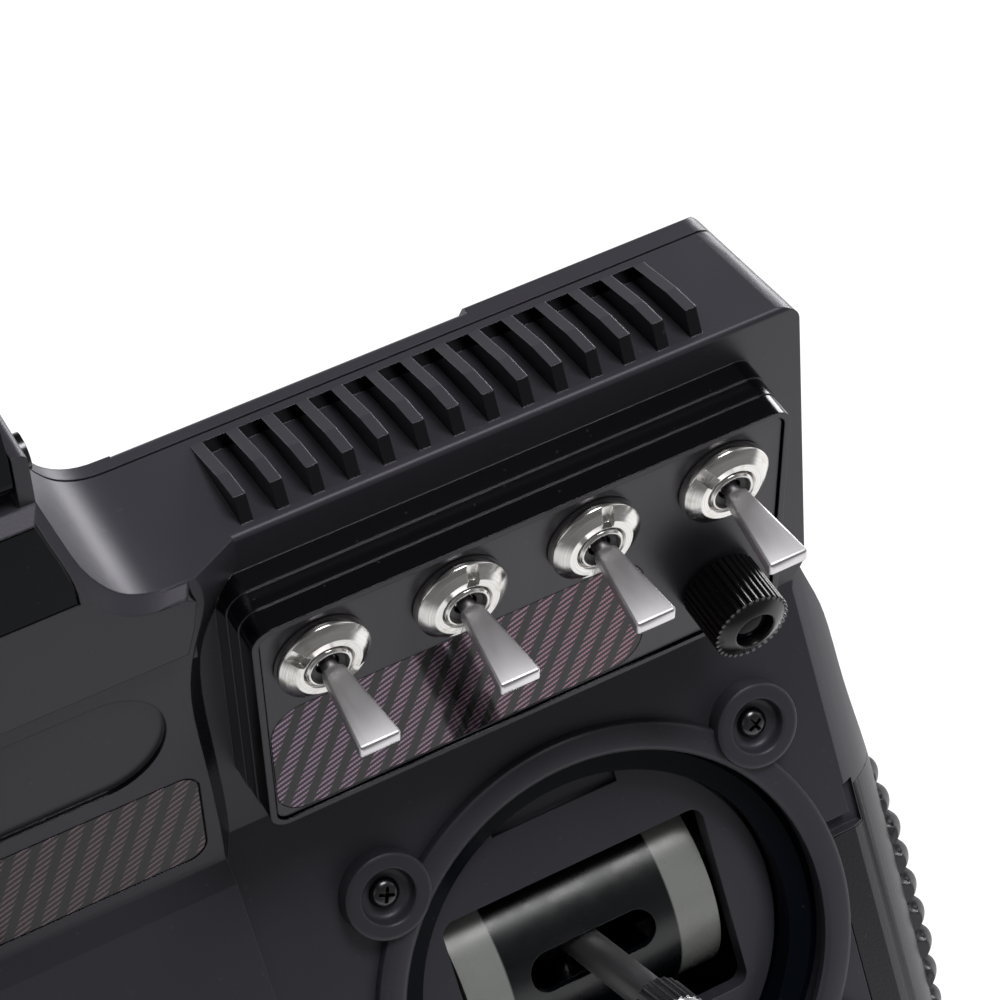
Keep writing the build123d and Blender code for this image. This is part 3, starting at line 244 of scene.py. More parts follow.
def moulded(colour, roughness, grain=0.1, edge=0.0002, shine=0.5, grain_scale=3200.0, sheen=(1, 1, 1),
            smooth=0.0):
    """Moulded plastic: fine grain, uneven gloss, a few specks of dust, and glossy drawn walls whose colour is
    darkened to near black as painted shade.
    """

    def paint(sheet):
        place = sheet.place()
        cloud = sheet.noise(place, 38.0, 3.0)
        fine = sheet.noise(place, grain_scale, 2.0)
        gloss = cloud * 0.10 + (roughness - 0.05) + fine * 0.04 - 0.02
        height = fine
        lighter = tuple(min(1.0, part * 1.3 + 0.0005) for part in colour)
        tone = sheet.blend(cloud, rgb(*colour), rgb(*lighter))
        if smooth:
            wall_gloss_and_shade = glossy_shaded_walls(sheet)
            gloss = gloss - wall_gloss_and_shade * (roughness - smooth)
            height = fine * (1.0 - wall_gloss_and_shade)
            # Painted shade: the drawn walls' colour goes to near black; their lower roughness and missing grain are
            # real.
            tone = sheet.blend(wall_gloss_and_shade, tone, rgb(*WALL_SHADE_BLACK))
        speck = sheet.span(sheet.noise(place, 1300.0, 0.0), 0.815, 0.83)
        tone = sheet.blend(speck * 0.03, tone, rgb(*DUST))
        return sheet.add("ShaderNodeBsdfPrincipled", None, {
            "Base Color": tone,
            "Roughness": gloss,
            "Specular IOR Level": shine,
            "Specular Tint": rgb(*sheen),
            "Normal": worn_normal(sheet, edge, height, grain),
        })

    return paint


def turned_metal(colour, roughness, brush=0.12, edge=0.00012, stain=0.0):
    """Turned and polished metal: rings from the lathe tool, smudges and a warm film here and there."""

    def paint(sheet):
        place = sheet.place()
        turned = sheet.add("ShaderNodeAttribute", {"attribute_name": "turned"}, output="Vector")
        rings = sheet.noise(turned, 9.0, 3.0, 0.7)
        smudge = sheet.noise(place, 160.0, 4.0)
        gloss = smudge * 0.12 + rings * 0.14 + (roughness - 0.13)
        darker = tuple(part * 0.72 for part in colour)
        tone = sheet.blend(sheet.span(rings, 0.35, 0.75), rgb(*colour), rgb(*darker))
        if stain:
            film = sheet.span(sheet.noise(place, 420.0, 3.0), 0.58, 0.72)
            tone = sheet.blend(film * stain, tone, rgb(*WARM_FILM))
        return sheet.add("ShaderNodeBsdfPrincipled", None, {
            "Base Color": tone,
            "Metallic": 1.0,
            "Roughness": gloss,
            "Normal": worn_normal(sheet, edge, rings, brush, 0.00004),
        })

    return paint


def brushed_metal(colour, roughness, along, edge=0.00012):
    """Nickel plate brushed one way."""

    def paint(sheet):
        place = sheet.place()
        stretch = sheet.add("ShaderNodeVectorMath", {"operation": "MULTIPLY"}, {0: place, 1: along})
        hair = sheet.noise(stretch, 1500.0, 3.0)
        smudge = sheet.noise(place, 120.0, 3.0)
        tone = sheet.blend(smudge, rgb(*colour), rgb(*(part * 0.8 for part in colour)))
        (out,) = sheet.facing(CONSOLE_OUT)
        tip = sheet.span(out, 0.45, 0.85, 0.0, 0.24)
        return sheet.add("ShaderNodeBsdfPrincipled", None, {
            "Base Color": tone,
            "Metallic": 1.0,
            "Roughness": hair * 0.12 + smudge * 0.14 + (roughness - 0.13) - tip,
            "Normal": worn_normal(sheet, edge, hair, 0.05),
        })

    return paint


# The twill, in millimetres: slope and pitch of its dashes, lean and pitch of its columns, step from one to the next.
DASH_SLOPE, DASH_PITCH, COLUMN_LEAN, COLUMN_PITCH, ROW_SHIFT = 0.40, 0.96, 0.372, 3.47, 0.45
COLUMN_MIDDLE, FRAY, STRANDS_PER_MM = 0.34, 0.22, 17.0


def woven(thread_a, thread_b, ground, gloss):
    """Glossy lacquer over a printed twill of short slanting dashes."""

    def paint(sheet):
        across, up = sheet.along([RIGHT, CONSOLE_UP])
        column = (across - up * COLUMN_LEAN) / COLUMN_PITCH
        in_column = column.wrapped(1.0)
        row = (up - across * DASH_SLOPE) / DASH_PITCH + column.floor() * ROW_SHIFT
        in_row = row.wrapped(1.0)
        fray = (in_row - 0.5) * FRAY
        width = sheet.span((in_column - COLUMN_MIDDLE - fray).size(), 0.27, 0.31, 1.0, 0.0)
        height = sheet.span((in_row - 0.5).size(), 0.14, 0.30, 1.0, 0.0)
        strand = ((across + up * DASH_SLOPE) * STRANDS_PER_MM).sine() * 0.14 + 0.86
        thread = sheet.blend(sheet.span(across.size(), 34.0, 78.0), rgb(*thread_a), rgb(*thread_b))
        dash = width * height * strand
        print_tone = sheet.blend(dash, rgb(*ground), thread)
        haze = sheet.noise(sheet.place(), 90.0, 3.0)
        return sheet.add("ShaderNodeBsdfPrincipled", None, {
            "Base Color": print_tone,
            "Metallic": dash * 0.8,
            "Roughness": haze * 0.05 + gloss - 0.02,
            "Specular IOR Level": 0.28,
            "Normal": worn_normal(sheet, 0.0001, haze, 0.02),
        })

    return paint


def circuit_board(sheet):
    """Green lacquer over copper tracks."""
    across, up = sheet.along([RIGHT, UP])
    grid = (across * 2.4).sine() * (up * 2.1).sine()
    track = sheet.span(grid, 0.55, 0.60)
    tone = sheet.blend(track, rgb(0.012, 0.075, 0.028), rgb(0.03, 0.16, 0.06))
    return sheet.add("ShaderNodeBsdfPrincipled", None, {
        "Base Color": tone, "Roughness": track * 0.15 + 0.3,
        "Normal": worn_normal(sheet, 0.0001, track, 0.2)})


def liquid_crystal(sheet):
    """Grey-green display cell with its pixel grid and darker border."""
    across, up = sheet.along([RIGHT, UP], (0, 0, 0.030))
    pixel = ((across * 14.0).sine() * (up * 14.0).sine()) * 0.5 + 0.5
    border = sheet.span(across.size() / 24.5, 0.985, 1.0).at_least(sheet.span(up.size() / 10.6, 0.97, 1.0))
    tone = sheet.blend(pixel * 0.25, rgb(0.23, 0.29, 0.22), rgb(0.16, 0.20, 0.16))
    tone = sheet.blend(border, tone, rgb(0.015, 0.016, 0.016))
    return sheet.add("ShaderNodeBsdfPrincipled", None, {
        "Base Color": tone, "Roughness": pixel * 0.05 + 0.25,
        "Normal": worn_normal(sheet, 0.0001, pixel, 0.02)})


def rocking_frame(sheet):
    """Black middle with pale ends."""
    (across,) = sheet.along([RIGHT])
    end = sheet.span((across.size() - STICK_X).size(), 12.6, 12.9)
    haze = sheet.noise(sheet.place(), 300.0, 3.0)
    tone = sheet.blend(end, rgb(0.003, 0.004, 0.006), rgb(0.34, 0.35, 0.33))
    return sheet.add("ShaderNodeBsdfPrincipled", None, {
        "Base Color": tone, "Roughness": haze * 0.2 + 0.18,
        "Normal": worn_normal(sheet, 0.0002, haze, 0.03)})


def clear_window(sheet):
    """Clear window with faint smears."""
    smear = sheet.noise(sheet.place(), 60.0, 3.0)
    return sheet.add("ShaderNodeBsdfPrincipled", None, {
        "Base Color": rgb(0.96, 0.98, 0.97), "Roughness": smear * 0.05 + 0.01,
        "Transmission Weight": 1.0, "IOR": 1.46,
        "Normal": worn_normal(sheet, 0.0002, smear, 0.01)})


def sleeved_cell(sheet):
    """Battery cell: blue sleeve with a silver band, bare metal at the top."""
    (up,) = sheet.along([UP])
    cap = sheet.span(up, 69.6, 69.8)
    band = sheet.span((up - 58.0).size(), 5.8, 6.0, 1.0, 0.0)
    tone = sheet.blend(band, rgb(0.03, 0.09, 0.30), rgb(0.45, 0.45, 0.47))
    tone = sheet.blend(cap, tone, rgb(0.60, 0.60, 0.60))
    return sheet.add("ShaderNodeBsdfPrincipled", None, {
        "Base Color": tone, "Metallic": cap, "Roughness": cap * 0.1 + 0.24,
        "Normal": worn_normal(sheet, 0.0002, sheet.noise(sheet.place(), 700.0), 0.03)})


VIOLET = (0.93, 0.90, 1.0)
FINISHES = {
    "housing": moulded((0.036, 0.0345, 0.0430), 0.42, 0.07, edge=0.00025, grain_scale=4600.0, sheen=VIOLET,
                       smooth=0.15),
    "grip_rubber": moulded((0.012, 0.012, 0.014), 0.42, 0.2, sheen=VIOLET, grain_scale=2400.0),
    "panel": moulded((0.034, 0.0320, 0.0370), 0.34, 0.06, sheen=(0.96, 0.93, 1.0)),
    "carbon_inlay": woven((0.34, 0.22, 0.34), (0.38, 0.19, 0.25), (0.004, 0.003, 0.004), 0.07),
    "gloss_black": moulded((0.0015, 0.003, 0.0065), 0.14, 0.02, shine=0.07),
    "switch_black": moulded((0.004, 0.004, 0.004), 0.40, 0.1),
    "polished_steel": turned_metal((0.86, 0.84, 0.82), 0.17, brush=0.25, stain=0.35),
    "satin_steel": brushed_metal((0.78, 0.76, 0.78), 0.46, (1.0, 0.12, 0.12)),
    "cap_aluminium": turned_metal((0.62, 0.62, 0.64), 0.26),
    "dark_plastic": moulded((0.0035, 0.0035, 0.0042), 0.22, 0.04),
    "pale_nylon": rocking_frame,
    "screw_steel": turned_metal((0.10, 0.10, 0.105), 0.24),
    "key_grey": moulded((0.05, 0.05, 0.055), 0.45, 0.08),
    "lens_red": moulded((0.35, 0.01, 0.01), 0.12, 0.02),
    "display_glass": clear_window,
    "display_cell": liquid_crystal,
    "board_green": circuit_board,
    "cell_foil": sleeved_cell,
    "jack_black": moulded((0.006, 0.006, 0.006), 0.35, 0.05),
}
MATERIALS = {name: finish(name, paint) for name, paint in FINISHES.items()}
MATERIALS["stamp"] = finish("stamp", woven((0.17, 0.115, 0.135), (0.18, 0.115, 0.13), (0.010, 0.008, 0.009), 0.12))

# Nodes shown by the frame's own shapes in another finish than their slot's.
OTHER_FINISH = {
    "centre_label": "stamp",
    "antenna_pin": "screw_steel",
    "gimbal_cup_right": "gloss_black",
    "gimbal_cup_left": "gloss_black",
    "gimbal_plate_right": "housing",
    "gimbal_plate_left": "housing",
}
for node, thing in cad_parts.items():
    for slot in thing.material_slots:
        name = slot.material.name.split(".")[0] if slot.material else "housing"
        slot.material = MATERIALS[OTHER_FINISH.get(node, name)]


# --- shapes, in millimetres -----------------------------------------------

ORIGIN_Y, ORIGIN_Z = -25.0 - 40.0 * SIN - 9.0 * COS, 126.0 + 40.0 * COS - 9.0 * SIN
CONSOLE = Matrix(((1, 0, 0, 0), (0, -SIN, -COS, ORIGIN_Y), (0, COS, -SIN, ORIGIN_Z), (0, 0, 0, 1)))
FRONT = Matrix(((1, 0, 0, 0), (0, 0, -1, -25), (0, 1, 0, 0), (0, 0, 0, 1)))
REAR = Matrix(((-1, 0, 0, 0), (0, 0, 1, 25), (0, 1, 0, 0), (0, 0, 0, 1)))
ACROSS = Matrix.Rotation(math.radians(90), 4, "Y")


def shift(x=0.0, y=0.0, z=0.0):
    return Matrix.Translation((x, y, z))


def lathe(shape, profile, steps=48, place=Matrix(), closed=False):
    """Turns an (r, h) profile about the upright axis."""
    rings = []
    for r, h in profile:
        if r < 1e-6:
            rings.append([shape.verts.new(place @ Vector((0, 0, h)))])
            continue
        turn = [2 * math.pi * i / steps for i in range(steps)]
        rings.append([shape.verts.new(place @ Vector((r * math.cos(a), r * math.sin(a), h))) for a in turn])
    pairs = list(zip(rings, rings[1:])) + ([(rings[-1], rings[0])] if closed else [])
    for low, high in pairs:
        for i in range(steps):
            j = (i + 1) % steps
            if len(low) == 1 and len(high) == 1:
                continue
            if len(low) == 1:
                shape.faces.new((low[0], high[i], high[j]))
            elif len(high) == 1:
                shape.faces.new((low[i], low[j], high[0]))
            else:
                shape.faces.new((low[i], low[j], high[j], high[i]))


def rounded_ring(half_w, half_d, corner, height, per_corner=4):
    """Rectangle with round corners, as points at one height."""
    points = []
    for quarter, (sx, sy) in enumerate(((1, 1), (-1, 1), (-1, -1), (1, -1))):
        for i in range(per_corner + 1):
            angle = math.radians(90 * (quarter + i / per_corner))
            points.append((sx * (half_w - corner) + corner * math.cos(angle),
                           sy * (half_d - corner) + corner * math.sin(angle), height))
    return points


def skin(shape, rings, place=Matrix()):
    """Joins rings of equal count and closes both ends."""
    rows = [[shape.verts.new(place @ Vector(point)) for point in ring] for ring in rings]
    for low, high in zip(rows, rows[1:]):
        for i in range(len(low)):
            j = (i + 1) % len(low)
            shape.faces.new((low[i], low[j], high[j], high[i]))
    shape.faces.new(list(reversed(rows[0])))
    shape.faces.new(rows[-1])


def block(shape, low, high, corner=0.2, place=Matrix()):
    """Box between two corners, with rounded upright edges and chamfered ends."""
    (x0, y0, z0), (x1, y1, z1) = low, high
    at = place @ shift((x0 + x1) / 2, (y0 + y1) / 2, 0)
    w, d = (x1 - x0) / 2, (y1 - y0) / 2
    c = min(corner, w * 0.9, d * 0.9)
    rings = [rounded_ring(w - c, d - c, 0.01, z0), rounded_ring(w, d, c, z0 + c), rounded_ring(w, d, c, z1 - c),
             rounded_ring(w - c, d - c, 0.01, z1)]
    skin(shape, rings, at)


def in_metres(place):
    """The same placement with its shift in metres."""
    metres = place.copy()
    metres.translation = place.translation * MM
    return metres


def as_mesh(name, shape, place=Matrix()):
    shape.transform(Matrix.Scale(MM, 4) @ place)
    bmesh.ops.recalc_face_normals(shape, faces=shape.faces)
    mesh = bpy.data.meshes.new(name)
    shape.to_mesh(mesh)
    shape.free()
    return mesh


def loose(name, mesh):
    thing = bpy.data.objects.new(name, mesh)
    bpy.context.scene.collection.objects.link(thing)
    return thing


def settle(thing):
    """The object's mesh with its modifiers applied."""
    depsgraph = bpy.context.evaluated_depsgraph_get()
    return bpy.data.meshes.new_from_object(thing.evaluated_get(depsgraph), depsgraph=depsgraph)


def fit(name, mesh, body, slot, stands_for=(), crease=32.0, material=None):
    """A finished piece on its body."""
    mesh.name = name
    thing = loose(name, mesh)
    mesh.materials.clear()
    mesh.materials.append(MATERIALS[material or slot])
    for face in mesh.polygons:
        face.use_smooth = True
    mesh.set_sharp_from_angle(angle=math.radians(crease))
    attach(thing, body)
    if stands_for:
        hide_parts(*stands_for)
    return thing


def carve(name, shape, cutter):
    """Cuts one shape out of another and gives the mesh back."""
    thing = loose(name, as_mesh(name, shape))
    tool = loose(name + "_tool", as_mesh(name + "_tool", cutter))
    cut = thing.modifiers.new("cut", "BOOLEAN")
    cut.operation = "DIFFERENCE"
    cut.solver = "EXACT"
    cut.use_self = True
    cut.object = tool
    mesh = settle(thing)
    bpy.data.objects.remove(thing)
    bpy.data.objects.remove(tool)
    return mesh


# --- repeated pieces ------------------------------------------------------


def node_group(name, inputs):
    tree = bpy.data.node_groups.new(name, "GeometryNodeTree")
    for label, kind in inputs:
        tree.interface.new_socket(label, in_out="INPUT", socket_type=kind)
    tree.interface.new_socket("Pieces", in_out="OUTPUT", socket_type="NodeSocketGeometry")
    return tree


def scatter_group():
    """Puts one part at every marked point, turned by the point's own spin."""
    tree = node_group("part at marked points", [
        ("Marks", "NodeSocketGeometry"), ("Part", "NodeSocketObject"),
        ("Size", "NodeSocketFloat"), ("Finish", "NodeSocketMaterial")])
    sheet = Sheet(tree)
    given = sheet.add("NodeGroupInput")
    part = sheet.add("GeometryNodeObjectInfo", None, {"Object": sheet.more(given, "Part")}, output="Geometry")
    spin = sheet.add("GeometryNodeInputNamedAttribute", {"data_type": "FLOAT"}, {"Name": "spin"}, output="Attribute")
    turn = sheet.add("ShaderNodeCombineXYZ", None, {"Z": spin})
    placed = sheet.add("GeometryNodeInstanceOnPoints", None, {
        "Points": sheet.more(given, "Marks"), "Instance": part, "Rotation": turn,
        "Scale": sheet.more(given, "Size")})
    real = sheet.add("GeometryNodeRealizeInstances", None, {"Geometry": placed})
    done = sheet.add("GeometryNodeSetMaterial", None, {"Geometry": real, "Material": sheet.more(given, "Finish")})
    sheet.add("NodeGroupOutput", None, {"Pieces": done})
    return tree


def ribbed_group():
    """A core with a ring of round ribs standing on it."""
    tree = node_group("ribbed knob", [
        ("Core", "NodeSocketGeometry"), ("Count", "NodeSocketInt"), ("Ring", "NodeSocketFloat"),
        ("Rib", "NodeSocketFloat"), ("Low", "NodeSocketFloat"), ("Length", "NodeSocketFloat"),
        ("Finish", "NodeSocketMaterial")])
    sheet = Sheet(tree)
    given = sheet.add("NodeGroupInput")
    length = sheet.more(given, "Length")
    ring = sheet.add("GeometryNodeMeshCircle", None, {
        "Vertices": sheet.more(given, "Count"), "Radius": sheet.more(given, "Ring")})
    rib = sheet.add("GeometryNodeMeshCylinder", {"fill_type": "TRIANGLE_FAN"}, {
        "Vertices": 8, "Radius": sheet.more(given, "Rib"), "Depth": length})
    lift = sheet.add("ShaderNodeCombineXYZ", None, {"Z": sheet.more(given, "Low") + length * 0.5})
    raised = sheet.add("GeometryNodeTransform", None, {"Geometry": ring, "Translation": lift})
    ribs = sheet.add("GeometryNodeInstanceOnPoints", None, {"Points": raised, "Instance": rib})
    joined = sheet.add("GeometryNodeJoinGeometry")
    sheet.tree.links.new(ribs.socket, joined.socket.node.inputs[0])
    sheet.tree.links.new(sheet.more(given, "Core").socket, joined.socket.node.inputs[0])
    real = sheet.add("GeometryNodeRealizeInstances", None, {"Geometry": joined})
    done = sheet.add("GeometryNodeSetMaterial", None, {"Geometry": real, "Material": sheet.more(given, "Finish")})
    sheet.add("NodeGroupOutput", None, {"Pieces": done})
    return tree


SCATTER, RIBBED = scatter_group(), ribbed_group()


def grown(thing, tree, values):
    """Runs a tree on an object and gives the plain mesh back."""
    modifier = thing.modifiers.new("made", "NODES")
    modifier.node_group = tree
    for socket in tree.interface.items_tree:
        if socket.in_out == "INPUT" and socket.name in values:
            modifier[socket.identifier] = values[socket.name]
    mesh = settle(thing)
    bpy.data.objects.remove(thing)
    return mesh


def mark_turned(mesh):
    """Keeps radius, height and a little of the angle, in millimetres, for the tool marks of a turned part."""
    marks = mesh.attributes.new("turned", "FLOAT_VECTOR", "POINT")
    for vertex, mark in zip(mesh.vertices, marks.data):
        x, y, z = vertex.co / MM
        mark.vector = (math.hypot(x, y), z, 0.12 * math.sin(math.atan2(y, x)))
    return mesh


def row_of(name, part, spots, place, material):
    """The part at each (x, y, height, spin) spot."""
    marks = bpy.data.meshes.new(name + "_marks")
    marks.from_pydata([(x * MM, y * MM, h * MM) for x, y, h, _ in spots], [], [])
    spins = marks.attributes.new("spin", "FLOAT", "POINT")
    spins.data.foreach_set("value", [math.radians(angle) for *_, angle in spots])
    master = loose(name + "_master", part)
    mesh = grown(loose(name, marks), SCATTER, {"Part": master, "Size": 1.0, "Finish": MATERIALS[material]})
    bpy.data.objects.remove(master)
    mesh.transform(in_metres(place))
    return mesh


# --- toggle switches ------------------------------------------------------

SIDES = (("right", 1), ("left", -1))
SWITCH_X = (38.0, 56.0, 74.0, 92.0)
KEYWAY_TURN = (140.0, 77.0, 77.0, 132.0)
KEYWAY_HALF, KEYWAY_IN, KEYWAY_FLOOR = 0.8, 3.4, 1.5


def nut_shape():
    """Round dress nut: skirt, cone, flat ring and two keyways."""
    shape = bmesh.new()
    lathe(shape, [(3.05, 0.15), (5.6, 0.05), (5.93, 0.16), (6.0, 0.32), (6.0, 1.38), (5.92, 1.52), (5.0, 2.14),
                  (4.46, 2.50), (4.30, 2.60), (3.34, 2.60), (3.15, 2.42), (3.05, 2.2)], 72, closed=True)
    cutter = bmesh.new()
    for side in (0, 180):
        turn = Matrix.Rotation(math.radians(side), 4, "Z")
        block(cutter, (KEYWAY_IN, -KEYWAY_HALF, KEYWAY_FLOOR), (7.5, KEYWAY_HALF, 4.0), 0.12, turn)
    return carve("nut", shape, cutter)


def switch_spots():
    """Place and spin of every switch nut, both sides."""
    return [(sign * x, 0.0, 0.0, sign * turn) for _, sign in SIDES for x, turn in zip(SWITCH_X, KEYWAY_TURN)]


def case_shape():
    """Switch case with its steel yoke, rivets and three solder tags."""
    shape = bmesh.new()
    block(shape, (-3.5, -4.3, -11.0), (3.5, 4.3, -2.2), 0.35)
    block(shape, (-3.5, -4.3, -2.1), (3.5, 4.3, -1.6), 0.12)
    for v in (-3.2, 0.0, 3.2):
        block(shape, (-1.0, v - 0.4, -14.6), (1.0, v + 0.4, -10.9), 0.15)
    lathe(shape, [(2.41, 2.62), (2.2, 2.32), (1.52, 2.08), (1.46, 1.96), (1.52, 1.84), (2.3, 1.8), (2.41, 1.6)], 32,
          closed=True)
    lathe(shape, [(2.3, -2.9), (0, -2.9), (0, -3.2), (2.3, -3.2)], 32, closed=True)
    return as_mesh("case", shape)


def bush_shape():
    """Threaded bush that stands a little above its nut."""
    shape = bmesh.new()
    profile = [(2.42, -1.7), (2.80, -1.7)]
    thread = 0.5
    height = -1.5
    while height < 2.2:
        profile += [(2.95, height), (2.80, height + thread / 2)]
        height += thread
    profile += [(2.95, 2.35), (2.95, 2.62), (2.76, 2.86), (2.62, 2.90), (2.50, 2.84), (2.42, 2.65)]
    lathe(shape, profile, 48, closed=True)
    return as_mesh("bush", shape)


def lever_shape(x):
    """Flat bat lever: round neck, then a paddle that widens to its square tip."""
    shape = bmesh.new()
    steps = [(0.5, 1.0, 1.0, 0.95), (3.0, 1.0, 1.0, 0.95), (3.25, 1.18, 0.92, 0.75), (3.55, 1.42, 0.95, 0.42),
             (9.5, 2.04, 0.97, 0.36), (15.02, 2.63, 1.0, 0.32), (15.26, 2.55, 0.92, 0.30), (15.40, 2.36, 0.74, 0.25)]
    rings = [rounded_ring(w, d, c, n, 5) for n, w, d, c in steps]
    skin(shape, rings, shift(x))
    lathe(shape, [(0, -1.3), (1.15, -1.3), (1.3, -1.15), (1.3, 1.15), (1.15, 1.3), (0, 1.3)], 32,
          shift(x, 0, 0.4) @ ACROSS)
    return as_mesh("lever", shape, CONSOLE)


def toggle_switches():
    """Nuts, cases and bushes of all switches, and each lever on its own body."""
    spots = switch_spots()
    plain = [(x, v, h, 0.0) for x, v, h, _ in spots]
    fit("toggle_nuts_set", row_of("nuts", mark_turned(nut_shape()), spots, CONSOLE, "polished_steel"), "housing",
        "polished_steel", ["toggle_nuts"])
    fit("toggle_cases_set", row_of("cases", case_shape(), plain, CONSOLE, "switch_black"), "housing",
        "switch_black", ["toggle_bodies"])
    fit("toggle_bushes_set", row_of("bushes", mark_turned(bush_shape()), plain, CONSOLE, "polished_steel"), "housing",
        "polished_steel")
    for side, sign in SIDES:
        for number, x in enumerate(SWITCH_X, 1):
            fit(f"toggle_paddle_{number}_{side}", lever_shape(sign * x), f"toggle_{number}_{side}", "satin_steel",
                [f"toggle_lever_{number}_{side}"], crease=50.0)


# --- rotary dials ---------------------------------------------------------

DIAL_X, DIAL_V = 92.3, -19.8
DIAL_RIBS = 34


def dial_core():
    """Dial without its ribs, and its spindle."""
    shape = bmesh.new()
    lathe(shape, [(3.5, 0.3), (4.75, 0.3), (4.88, 0.45), (4.88, 8.25), (4.72, 8.42), (3.10, 9.12), (2.86, 9.18),
                  (2.68, 9.08), (2.60, 8.85), (2.60, 7.45), (2.0, 7.40), (0, 7.40), (0, 2.2), (3.5, 2.2)],
          68, closed=True)
    lathe(shape, [(0, -6.4), (1.6, -6.4), (1.6, 3.0), (0, 3.0)], 24)
    return as_mesh("dial_core", shape)


def rotary_dials():
    """Ribbed dials with a glossy plug in the end."""
    for side, sign in SIDES:
        core = loose("dial", dial_core())
        mesh = grown(core, RIBBED, {"Count": DIAL_RIBS, "Ring": 4.93 * MM, "Rib": 0.31 * MM, "Low": 0.55 * MM,
                                    "Length": 7.85 * MM, "Finish": MATERIALS["dark_plastic"]})
        place = CONSOLE @ shift(sign * DIAL_X, DIAL_V)
        mesh.transform(in_metres(place))
        fit(f"dial_ribbed_{side}", mesh, f"dial_{side}", "dark_plastic", [f"dial_knob_{side}"])
        plug = bmesh.new()
        lathe(plug, [(0, 7.3), (2.35, 7.3), (2.42, 7.6), (2.25, 7.95), (1.7, 8.22), (0.9, 8.34), (0, 8.36)], 40)
        fit(f"dial_plug_{side}", as_mesh("plug", plug, place), f"dial_{side}",
            "gloss_black")


# --- screws ---------------------------------------------------------------

EAR_DX, EAR_DZ = 27.6, 25.5
CASE_SCREW_PLACES = ((96.0, 15.0), (98.0, 46.0), (56.0, 12.0))


def cross_screw(head_r, low, high, shank_r, shank_end):
    """Pan head screw with a cross recess."""
    shape = bmesh.new()
    tall = high - low
    lathe(shape, [(0, shank_end), (shank_r, shank_end), (shank_r, low), (head_r * 0.94, low),
                  (head_r, low + 0.16 * tall), (head_r * 0.96, low + 0.45 * tall), (head_r * 0.80, low + 0.78 * tall),
                  (head_r * 0.55, low + 0.94 * tall), (head_r * 0.25, high - 0.01), (0, high)], 40)
    cutter = bmesh.new()
    arm, half = head_r * 0.62, head_r * 0.13
    for turn in (0, 90):
        at = Matrix.Rotation(math.radians(turn), 4, "Z")
        rings = [rounded_ring(arm * 0.45, half * 0.5, half * 0.2, high - 0.75 * tall),
                 rounded_ring(arm, half, half * 0.4, high + 0.2)]
        skin(cutter, rings, at)
    return carve("screw", shape, cutter)


def ear_spots():
    """Place and spin of every bezel screw."""
    spots = []
    for _, sign in SIDES:
        for i, (dx, dz) in enumerate(((1, 1), (-1, 1), (-1, -1), (1, -1))):
            x, z = sign * (STICK_X + dx * EAR_DX), STICK_Z + dz * EAR_DZ
            spots.append((x, z, 0.0, 27.0 + 41.0 * i * sign))
    return spots


def screws():
    """Bezel screws in front and case screws behind."""
    fit("bezel_cross_screws", row_of("bezel_screw", cross_screw(2.1, 0.6, 1.9, 1.25, -2.4), ear_spots(), FRONT,
                                     "screw_steel"), "housing", "screw_steel", ["bezel_screws"])
    back = [(-sign * x, z, 0.0, 20.0 + 35.0 * i) for _, sign in SIDES
            for i, (x, z) in enumerate(CASE_SCREW_PLACES)]
    fit("case_cross_screws", row_of("case_screw", cross_screw(2.8, -1.6, -0.2, 1.35, -9.5), back, REAR,
                                    "screw_steel"), "housing", "screw_steel", ["case_screws"])


# --- sticks ---------------------------------------------------------------


def bezel_shape(sign):
    """Ring with a rounded rim, four screw ears and dished counterbores."""
    centre = shift(sign * STICK_X, STICK_Z)
    ring = bmesh.new()
    lathe(ring, [(30.9, 0.0), (34.9, 0.0), (34.9, 0.95), (34.78, 1.30), (34.50, 1.52), (34.1, 1.6), (31.7, 1.6),
                 (31.2, 1.42), (30.9, 1.05)], 180, centre, closed=True)
    thing = loose("bezel", as_mesh("bezel", ring))
    ears, bores = bmesh.new(), bmesh.new()
    for dx, dz in ((1, 1), (-1, 1), (-1, -1), (1, -1)):
        at = centre @ shift(dx * EAR_DX, dz * EAR_DZ)
        lathe(ears, [(0, 0.0), (6.0, 0.0), (6.0, 2.30), (5.90, 2.58), (5.62, 2.78), (5.3, 2.8), (0, 2.8)], 56, at)
        lathe(bores, [(0, 0.6), (2.5, 0.6), (3.1, 0.70), (3.5, 1.0), (3.7, 1.5), (3.7, 2.45), (3.84, 2.68),
                      (4.1, 2.86), (4.1, 3.6), (0, 3.6)], 48, at)
        lathe(bores, [(0, -1), (1.3, -1), (1.3, 0.9), (0, 0.9)], 24, at)
    tools = [loose("ears", as_mesh("ears", ears)), loose("bores", as_mesh("bores", bores))]
    for tool, operation in zip(tools, ("UNION", "DIFFERENCE")):
        step = thing.modifiers.new(operation.lower(), "BOOLEAN")
        step.operation = operation
        step.solver = "EXACT"
        step.object = tool
    mesh = settle(thing)
    for used in [thing] + tools:
        bpy.data.objects.remove(used)
    mesh.transform(in_metres(FRONT))
    return mesh


CAP_RIBS = 22
CAP_BANDS = ((12.5, 6.9), (21.2, 7.1))


